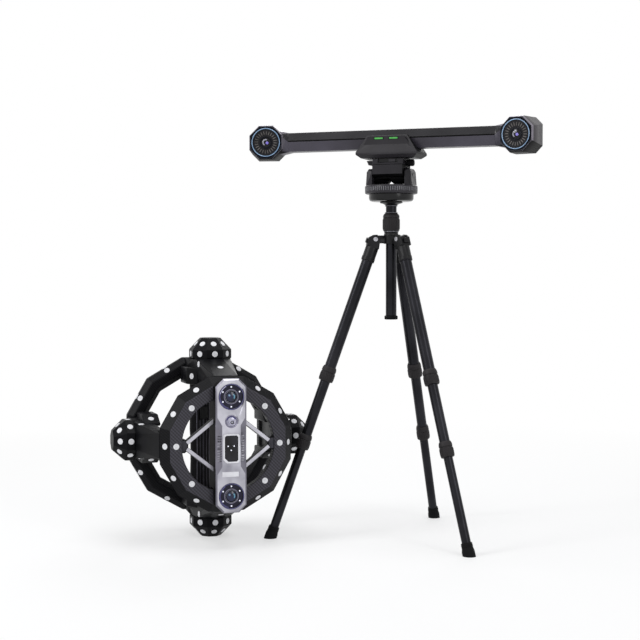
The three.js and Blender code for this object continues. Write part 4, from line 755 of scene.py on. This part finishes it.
def tracker():
    """The bar with its groove painted near black as shade, the housing with its panel and two lamps and its end facets
    painted darker as shade, and the two camera heads.
    """
    back, line_height = TRACKER.inverted(), 1.5

    # Two-tone bar, with painted shade near black in the groove between its halves.
    def bar_tone_and_groove_shade(face):
        middle = back @ face.calc_center_median()
        if abs(middle.z - line_height) < 1.05 and abs(middle.y) > 18:
            return BAR_GROOVE_SHADE
        return BAR_UPPER if middle.z > line_height else BAR_LOWER

    # Painted shade: the housing's end facets get the near-black copy of its grey.
    def housing_tone_and_shade(face):
        return HOUSING_SHADE if abs(face.normal.x) > 0.3 else TRACKER_GREY

    def part(name, shape, place, material, edge):
        piece(name, shape, place, "tracker", "tracker_grey", material, edge=edge)

    finishes = [BAR_UPPER, BAR_LOWER, BAR_GROOVE_SHADE]
    dressed("bar", "tracker_bar", "tracker", "tracker_grey", finishes, 0.9, 20, 60, paint=bar_tone_and_groove_shade)
    finishes = [TRACKER_GREY, HOUSING_SHADE]
    dressed("housing", "tracker_housing", "tracker", "tracker_grey", finishes, 1.2, 28, 12, paint=housing_tone_and_shade)
    for side, name in ((-1, "left"), (1, "right")):
        tracker_head(side, name)
    face_height, lean = 33.4, 7
    slope = atan2(lean, face_height)
    front = TRACKER @ at(0, -34.5, -10.3) @ turned_by(slope, "X")
    panel = slab([(-37.5, 14.6), (37.5, 14.6), (56, -12.6), (52.5, -15), (-52.5, -15), (-56, -12.6)], 0.7)
    part("front_panel", panel, front @ at(0, -0.6, 0), TRACKER_GREY, 0.5)
    lamp_z = (face_height / 2 - 6.4) / cos(slope)
    wells, lamps = [], []
    for x in (-15.5, 15.5):
        wells.append(block((x - 10.4, -0.9, lamp_z - 2.5), (x + 10.4, 0.4, lamp_z + 2.5)))
        lamps.append(block((x - 8.8, -1.3, lamp_z - 1.65), (x + 8.8, 0, lamp_z + 1.65)))
    piece("lamp_wells", joined(*wells), front, "tracker", "lens_cell", SLOT_BLACK, edge=0.3)
    piece("status_lamps", joined(*lamps), front, "tracker", "status_green", GREEN_LAMP, ["status_lights"], 0.5)
    part("bare_badge", block((-8, -0.85, -10.4), (8, -0.3, -9.2)), front, HEAD_SHELL, 0.2)


# Hand-held scanner


def upright_loop(bm, radius, segments, y):
    """The edges of a loop round Y at a depth. A loop of twelve has its flats towards the four knobs."""
    verts = bmesh.ops.create_circle(bm, cap_ends=False, segments=segments, radius=radius)["verts"]
    upright = turned_by(pi / 2, "X") @ turned_by(pi / 12, "Z")
    bmesh.ops.transform(bm, matrix=at(0, y, 0) @ upright, verts=verts)
    return list(dict.fromkeys(e for v in verts for e in v.link_edges))


def dodecagon(bm, apothem, y):
    """The edges of a twelve-sided loop, each side cut in eight."""
    edges = upright_loop(bm, apothem / cos(pi / 12), 12, y)
    cut = bmesh.ops.subdivide_edges(bm, edges=edges, cuts=7)
    parts = cut["geom_inner"] + cut["geom_split"]
    return list(dict.fromkeys(e for e in parts if isinstance(e, bmesh.types.BMEdge)))


def front_ring_shape():
    """The front ring: a round opening in a twelve-sided plate with a broad bevel."""
    bm, edge = bmesh.new(), 1.2
    opening, lip = RING_OPENING, RING_OPENING + edge
    mouth = ((opening, RING_BACK - edge), (opening, RING_FRONT + edge), (lip, RING_FRONT))
    plate = ((114.8, RING_FRONT), (116.7, RING_FRONT + 0.8), (133.2, RING_BACK - 1), (133, RING_BACK))
    loops = [upright_loop(bm, radius, FINE, y) for radius, y in mouth]
    loops += [dodecagon(bm, apothem, y) for apothem, y in plate]
    loops.append(upright_loop(bm, lip, FINE, RING_BACK))
    for first, second in zip(loops, loops[1:] + loops[:1]):
        bmesh.ops.bridge_loops(bm, edges=first + second)
    return outward(bm)


def braces():
    """The side bosses and V braces: dark bodies, bright brace faces and grey boss covers."""
    front, back = -147, -132
    boss = [(99, -13.5), (86.5, -13.5), (80, -6.8), (80, 6.8), (86.5, 13.5), (99, 13.5)]
    boss_cover = [(92.5, -10.6), (87, -10.6), (82.4, -5.6), (82.4, 5.6), (87, 10.6), (92.5, 10.6)]
    bodies, faces, covers = [], [], []

    def add(group, outline, y, depth):
        group.append((slab([tuple(point) for point in outline], depth), at(0, y, 0)))

    for side in (-1, 1):
        add(bodies, [(side * x, z) for x, z in boss], front, back - front)
        add(covers, [(side * x, z) for x, z in boss_cover], front - 0.7, 1)
        for up in (-1, 1):
            start, end = Vector((side * 84.3, up * 4.5)), Vector((side * 26.3, up * 50))
            along = (end - start).normalized()
            across = Vector((-along.y, along.x)) * 4
            add(bodies, [start + across, end + across, end - across, start - across], front, back - front)
            across, near = across * 0.86, start + along * 2
            add(faces, [near + across, end + across, end - across, near - across], front - 0.7, 1)
    return gather(bodies), gather(faces), gather(covers)


def cage_part(name, shape, material, place=SCANNER, slot="cage_black", replaces=(), **looks):
    """A part that is fixed in the scanner's cage."""
    piece(name, shape, place, "scanner", slot, material, replaces, **looks)


def marker_dot():
    """A white marker dot on the plane Z = 0, slightly domed at its rim."""
    r = DOT_RADIUS
    return turned([(0, -0.4), (r, -0.4), (r, 0.2), (r - 0.3, 0.45), (0, 0.5)], 28)


def marker_dots(name, node, rays):
    """Marker dots where rays in the scanner's frame, as (from, towards) pairs, meet a CAD node."""
    shape = bmesh.new()
    shape.from_mesh(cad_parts[node].data)
    surface = BVHTree.FromBMesh(shape)
    dot, back, spots = marker_dot(), SCANNER.inverted(), []
    for start, target in rays:
        origin, aim = SCANNER @ Vector(start), SCANNER @ Vector(target)
        hit, normal, _, _ = surface.ray_cast(origin, (aim - origin).normalized())
        if hit is not None:
            spots.append((dot, facing(back @ hit, back.to_3x3().normalized() @ normal)))
    cage_part(name, gather(spots), MARKER_WHITE)


def polar(radius, angle, y):
    return Vector((radius * sin(angle), y, radius * cos(angle)))


def cage_dots():
    """Dots on the ring's face and bevel, and on the rear frame's front corner, rim and back."""
    clock = [i * pi / 6 for i in range(12)]
    face = [(polar(104.5, a, -200), polar(104.5, a, -100)) for a in map(radians, (45, 90, 135, 225, 270, 315))]
    bevel = [(polar(180, a, -199), polar(125, a, -140)) for a in clock]
    marker_dots("ring_dots", "front_ring", face + bevel)
    rim = []
    for i, a in enumerate(clock):
        if i % 3:
            rim += [(polar(195, a, 10), polar(154.5, a, 62.5)), (polar(220, a, 74), polar(160, a, 74))]
    rim += [(polar(141.5, a, 200), polar(141.5, a, 80)) for a in clock]
    marker_dots("frame_dots", "cage_frame", rim)


def hub_shoulders():
    """The lobes that stand on a spoke's sides before the rear frame, and the fillets where it meets the ring."""
    upright = turned_by(pi / 2, "X")
    steps = [radians(15 * i) for i in range(7)]
    made = []
    for side in (-1, 1):
        lobe = slab([(side * x, -y) for x, y in ((28, -26), (33.5, -26), (50, 2), (50, 56.5), (28, 56.5))], 34)
        rounded(lobe, 4.5)
        made.append((lobe, at(0, 0, 109) @ upright))
        curve = [(side * (35.2 - 7.7 * cos(a)), 95 + 35.6 * sin(a)) for a in steps]
        fillet = slab([(side * 20, 95), *curve, (side * 20, 130.6)], 18)
        made.append((fillet, at(0, 0, 114) @ upright))
    return gather(made)


def knob(name, quarter):
    """A marker knob with its spoke and shoulders, and dots on its walls, cone and tip, the lobes and the spoke."""
    turn = turned_by(quarter * pi / 2, "Y")
    node = f"marker_knob_{name}"
    dressed(f"knob_{name}", node, "scanner", "cage_black", CAGE_PLAIN, 1.1, 20, 7)
    dot = marker_dot()
    wall, cone = facing((40.6, 0, 171.8), (1, 0, 0)), facing((30.1, 0, 192.1), (23.8, 0, 21))
    spots = [(dot, turn @ facing((0, 0, KNOB_TIP - 0.5), (0, 0, 1)))]
    for i in range(8):
        spin = turn @ turned_by(i * pi / 4, "Z")
        spots += [(dot, spin @ wall), (dot, spin @ cone)]
    for side in (-1, 1):
        spots.append((dot, turn @ facing((side * 41.8, -12, 126), (28 * side, -16.5, 0))))
    cage_part(f"knob_dots_{name}", gather(spots), MARKER_WHITE)
    cage_part(f"hub_shoulders_{name}", hub_shoulders(), CAGE_PLAIN, SCANNER @ turn, angle=40)
    rays = [((side * 90, -42, 152), (0, -42, 152)) for side in (-1, 1)]
    if quarter % 2 == 0:
        rays.append(((0, -160, 148), (0, -20, 148)))
    rays = [(turn @ Vector(start), turn @ Vector(target)) for start, target in rays]
    marker_dots(f"spoke_dots_{name}", node, rays)


def scanner_lens(name, z):
    """A camera lens of the scanner: a violet ring, a board with six lamps, a grey ring and a navy glass with painted
    reflections, and on the top lens a painted highlight on the ring.
    """
    prefix, place = f"scanner_lens_{name}", SCANNER @ at(0, SHELL_FRONT, z)
    lens_cell(prefix, place, [f"camera_lens_{name}"], 25.6, SCANNER_BOARD, NAVY_GLASS)
    lens_part(f"{prefix}_ring", light_ring(23.6, 25.2), place @ Z_TO_Y, VIOLET_RING)
    lens_part(f"{prefix}_ring_side", arc(21.6, 23.4, 195, 325, 1), place, VIOLET_RING)
    if name == "top":
        # Painted highlight: a pale arc on the top lens's ring only.
        lens_part(f"{prefix}_ring_glint", arc(22.6, 24.2, 285, 332, -0.9, 0.3), place, PALE_RING)
    lens_part(f"{prefix}_barrel_ring", arc(13.1, 14.7, 0, 360, 1.1, 0.3, 72), place, LENS_GREY)
    lens_part(f"{prefix}_barrel_edge", arc(11.6, 12.3, 0, 360, -0.6, 0.3, 72), place, GREY_TRIM_AND_GLINT)
    lens_part(f"{prefix}_lamps", ring_of(spot(1.7, 0, 1.2, 19.3), 6, "Y"), place, WHITE_LAMP)
    # Painted reflections on the glass: a cyan arc and a light blue spot.
    lens_part(f"{prefix}_glint", arc(4.2, 7.2, 40, 125, 0.1), place, CYAN_PAINTED_GLINT)
    lens_part(f"{prefix}_glint_blue", spot(2.1, -4, -0.15, 2.8), place, BLUE_RING)


def laser():
    """The laser's bezel and silver cover, with a painted violet sheen, two rings and a core off its centre."""
    place = SCANNER @ at(0, SHELL_FRONT, LASER_Z)
    aside = place @ at(1.5, 0, -2)
    bezel = [(0, 6), (12.6, 6), (12.6, -0.5), (12.1, -1), (11.2, -1), (10.6, -0.4), (10.2, 1.6), (0, 1.6)]
    lens_part("laser_bezel", turned(bezel, FINE), place @ Z_TO_Y, LENS_GREY, ["laser_lens"])
    dome = [(0, 1.8), (10, 1.8), (10, 1.1), (6, 0.3), (3, -0.1), (0, -0.2)]
    lens_part("laser_glass", turned(dome, FINE), place @ Z_TO_Y, LASER_GLASS)
    # Painted sheen: a glowing violet arc across the top of the cover.
    lens_part("laser_violet", arc(7.4, 10.2, 285, 425, 0.9, 0.5), place, VIOLET_RING)
    lens_part("laser_inner_ring", arc(3.9, 5.2, 0, 360, 0.1, 0.3, 48), aside, PALE_RING)
    lens_part("laser_core_ring", arc(2.2, 3.7, 0, 360, -0.05, 0.3, 48), aside, SLOT_BLACK)
    lens_part("laser_core", spot(1.8, 1.5, -0.2, -2), place, GREY_TRIM_AND_GLINT)


def camera_unit():
    """The silver-faced shell with its lenses, laser, window and bare plate, on the dark ribbed back."""
    back, lens_reach, laser_reach = SCANNER.inverted(), 27, 13.6

    def clear_of_lenses(corner):
        local = back @ corner
        if min(hypot(local.x, local.z - z) for z in SCANNER_LENS_Z.values()) <= lens_reach:
            return False
        in_window = abs(local.x) < 17.5 and -34.5 < local.z < 24.5
        return hypot(local.x, local.z - LASER_Z) > laser_reach and not in_window

    # Silver front, black sides and back, and painted shade: the sloped side facets get a darker copy of the silver.
    def shell_tone_and_shade(face):
        middle, normal = back @ face.calc_center_median(), (back.to_3x3() @ face.normal).normalized()
        if normal.y > -0.35:
            return BACK_BLACK
        return SHELL_SHADE if normal.y > -0.99 and abs(middle.x) > 18 else SHELL_SILVER

    dressed(
        "camera_unit_shell", "camera_shell", "scanner", "silver_shell", [SHELL_SILVER, BACK_BLACK, SHELL_SHADE],
        0.5, 28, 9, clear_of_lenses, shell_tone_and_shade,
    )
    dressed("camera_unit_back", "camera_back", "scanner", "cage_black", BACK_BLACK, 1.5, 30, 20)
    lines = joined(*[block((x - 0.5, -140, -87), (x + 0.5, -91.7, 87)) for x in (-13, -8, 8, 13)])
    cage_part("camera_back_ribs", lines, BACK_BLACK, edge=0.3)
    for name, z in SCANNER_LENS_Z.items():
        scanner_lens(name, z)
    laser()
    sensor_window()
    plate = block((-18.5, SHELL_FRONT - 0.8, -60), (14.5, SHELL_FRONT + 0.2, -50.4))
    cage_part("bare_plate", plate, PALE_PLATE, slot="silver_shell", edge=0.4)


def window_outline(margin):
    """The window's outline: a large corner cut at the lower left, and small ones at the others."""
    x, z, corner, cut = 16.5 + margin, 28.5 + margin, 7, 3
    low, high = -z - 5, z - 5
    return [
        (-x, low + corner), (corner - x, low), (x - cut, low), (x, low + cut), (x, high - cut), (x - cut, high),
        (cut - x, high), (-x, high - cut),
    ]


def sensor_window():
    """The window's pale frame, its dark glass and three lit spots behind it."""
    front = SHELL_FRONT - 0.1
    lens_part("window_frame", solid_copy("sensor_window"), Matrix.Identity(4), WINDOW_FRAME, ["sensor_window"])
    pane = slab(window_outline(-2.4), 1.4)
    lens_part("window_glass", pane, SCANNER @ at(0, front, 0), WINDOW_GLASS, edge=0.2)
    spots = joined(*[spot(1.4, x, front, z - 5) for x, z in ((-6.6, 4.8), (5.4, 4.8), (-0.4, -3.2))])
    lens_part("window_spots", spots, SCANNER, WHITE_LAMP)


def rear_grip():
    """The oval rear grip: a slight waist, raised lines down its front, flared ends and the trigger's bezel."""
    half, behind, flatness = 122.7, 78, 0.68
    profile = [(0, -half), (28, -half), (27.4, 4 - half), (26, 12 - half), (25.2, 20 - half), (25, 24 - half)]
    profile += [(24, -60), (23.8, -36), (24.2, -12), (25.6, 8), (25.2, 24)]
    profile += [(25, half - 24), (25.2, half - 20), (26, half - 12), (27.4, half - 4), (28, half), (0, half)]
    place = SCANNER @ at(0, behind, 0) @ Matrix.Scale(flatness, 4, (0, 1, 0))
    cage_part("grip_sleeve", turned(profile), COLUMN_BLACK, place, "rubber", ["grip"])
    strips, proud = [], 0.25
    for side in (-1, 1):
        for centre, half_turn in ((58, 1.6), (74, 0.6), (88, 0.6)):
            strip = bmesh.new()
            a = radians(-90 + side * (90 - centre) - half_turn)
            verts = [strip.verts.new(((r + proud) * cos(a), (r + proud) * sin(a), z)) for r, z in profile[2:-2]]
            geom = verts + [strip.edges.new(pair) for pair in zip(verts, verts[1:])]
            sweep = radians(2 * half_turn)
            bmesh.ops.spin(strip, geom=geom, cent=(0, 0, 0), axis=(0, 0, 1), angle=sweep, steps=3)
            outward(strip)
            bmesh.ops.solidify(strip, geom=strip.faces[:], thickness=-2 * proud)
            outward(strip)
            strips.append(strip)
    cage_part("grip_lines", joined(*strips), COLUMN_LINE, place, "rubber")
    bezel = slab([(-10.4, -16), (10.4, -16), (10.4, 16), (-10.4, 16)], 3)
    cage_part("trigger_bezel", bezel, CAGE_PLAIN, SCANNER @ at(0, 61, 44), edge=1)
    dressed("trigger_button", "trigger", "trigger", "cast_black", CASTING, 1.4)


def scanner():
    """The cage of ring, rear frame, knobs and spokes, with the camera unit and the grip inside it."""
    ring = front_ring_shape()
    finishes = [CAGE, CAGE_FACE]
    paint_faces(ring, finishes, lambda face: finishes[face.calc_center_median().y < RING_FRONT + 1])
    cage_part("ring", ring, finishes, replaces=["front_ring"], edge=0.8, angle=20, segments=2)
    dark, bright, grey = braces()
    cage_part("brace_bodies", dark, CAGE_PLAIN, edge=0.6)
    cage_part("brace_faces", bright, BRACE_SILVER, slot="silver_shell", edge=0.3)
    cage_part("boss_covers", grey, BOSS_GREY, slot="silver_shell", edge=0.3)
    dressed("cage", "cage_frame", "scanner", "cage_black", CAGE, 2.0, 15, 10)
    for quarter, name in enumerate(("top", "right", "bottom", "left")):
        knob(name, quarter)
    cage_dots()
    camera_unit()
    rear_grip()


# Stage


def softbox(name, place, target, size, power):
    data = bpy.data.lights.new(name, "AREA")
    data.shape = "RECTANGLE"
    data.size, data.size_y = size
    data.energy = power
    lamp = new_object(name, data)
    lamp.location = place
    lamp.rotation_euler = (Vector(target) - Vector(place)).to_track_quat("-Z", "Y").to_euler()


def white_where_seen(tree, lit_shader, white_shader, share=None):
    """Shows plain white to the camera, to gloss and through glass, and the lit shader elsewhere or by a share."""
    path = add_node(tree, "LightPath").outputs
    seen = path["Is Camera Ray"]
    for ray in ("Is Glossy Ray", "Is Transmission Ray"):
        seen = add_node(tree, "Math", {0: seen, 1: path[ray]}, operation="MAXIMUM").outputs[0]
    if share:
        seen = add_node(tree, "Math", {0: seen, 1: share}, operation="MULTIPLY").outputs[0]
    return add_node(tree, "MixShader", {0: seen, 1: lit_shader, 2: white_shader})


def stage():
    """A pale floor that keeps the shadows near the stand and fades to white, a white world, and four soft lights."""
    world = bpy.data.worlds.new("studio")
    bpy.context.scene.world = world
    world.use_nodes = True
    tree = world.node_tree
    tree.nodes.clear()
    light = add_node(tree, "Background", Color=(0.9, 0.92, 0.95, 1), Strength=0.4)
    white = add_node(tree, "Background", Color=(1, 1, 1, 1), Strength=1.0)
    mix = white_where_seen(tree, light.outputs[0], white.outputs[0])
    add_node(tree, "OutputWorld", {"Surface": mix.outputs[0]})

    floor_shape = bmesh.new()
    bmesh.ops.create_grid(floor_shape, x_segments=1, y_segments=1, size=40)
    mesh = bpy.data.meshes.new("studio_floor")
    floor_shape.to_mesh(mesh)
    floor_shape.free()
    floor = new_object("studio_floor", mesh)
    material, tree, paint = new_material("studio_floor_white", 0.9, 0, 0, 0.5)
    paint.inputs["Base Color"].default_value = (0.93, 0.93, 0.93, 1)
    glow = add_node(tree, "Emission", Color=(1, 1, 1, 1), Strength=1.0)
    place = add_node(tree, "TexCoord")
    centre = add_node(tree, "VectorMath", {0: place.outputs["Object"]}, operation="LENGTH")
    reach = {"From_Min": 0.5, "From_Max": 2.2, "To_Min": 0.5, "To_Max": 1.0}
    fade = add_node(tree, "MapRange", {"Value": centre.outputs["Value"]}, **reach)
    mix = white_where_seen(tree, paint.outputs[0], glow.outputs[0], fade.outputs["Result"])
    tree.links.new(mix.outputs[0], tree.nodes["Material Output"].inputs["Surface"])
    mesh.materials.append(material)

    softbox("key", (-1.9, -2.3, 2.2), (0, 0, 0.4), (0.9, 1.6), 40)
    softbox("fill", (2.4, -1.6, 1.4), (0, 0, 0.4), (0.7, 1.8), 16)
    softbox("top", (0, -0.2, 3.0), (0, 0, 0.3), (2.2, 1.6), 34)
    softbox("rim", (-0.6, 2.4, 1.8), (0, 0, 0.5), (1.6, 1.0), 20)


def camera():
    """The camera, turned a little off the stand's axis and down."""
    data = bpy.data.cameras.new("camera")
    data.sensor_width = SENSOR_WIDTH
    data.lens = SENSOR_WIDTH * FOCAL_PIXELS / PICTURE_PIXELS
    data.clip_start, data.clip_end = 0.1, 50
    obj = new_object("camera", data)
    stand_side = Vector((sin(VIEW_AZIMUTH), -cos(VIEW_AZIMUTH), 0))
    obj.location = STAND.to_translation() + VIEW_DISTANCE * stand_side + Vector((0, 0, VIEW_HEIGHT))
    aim = VIEW_AZIMUTH + VIEW_ASIDE
    look = Vector((-sin(aim) * cos(VIEW_PITCH), cos(aim) * cos(VIEW_PITCH), sin(VIEW_PITCH)))
    obj.rotation_euler = look.to_track_quat("-Z", "Y").to_euler()
    bpy.context.scene.camera = obj


camera()
for leg_name in LEG_TURNS:
    leg(leg_name)
column()
head()
tracker()
scanner()
stage()
bpy.context.scene.view_settings.view_transform = "Standard"
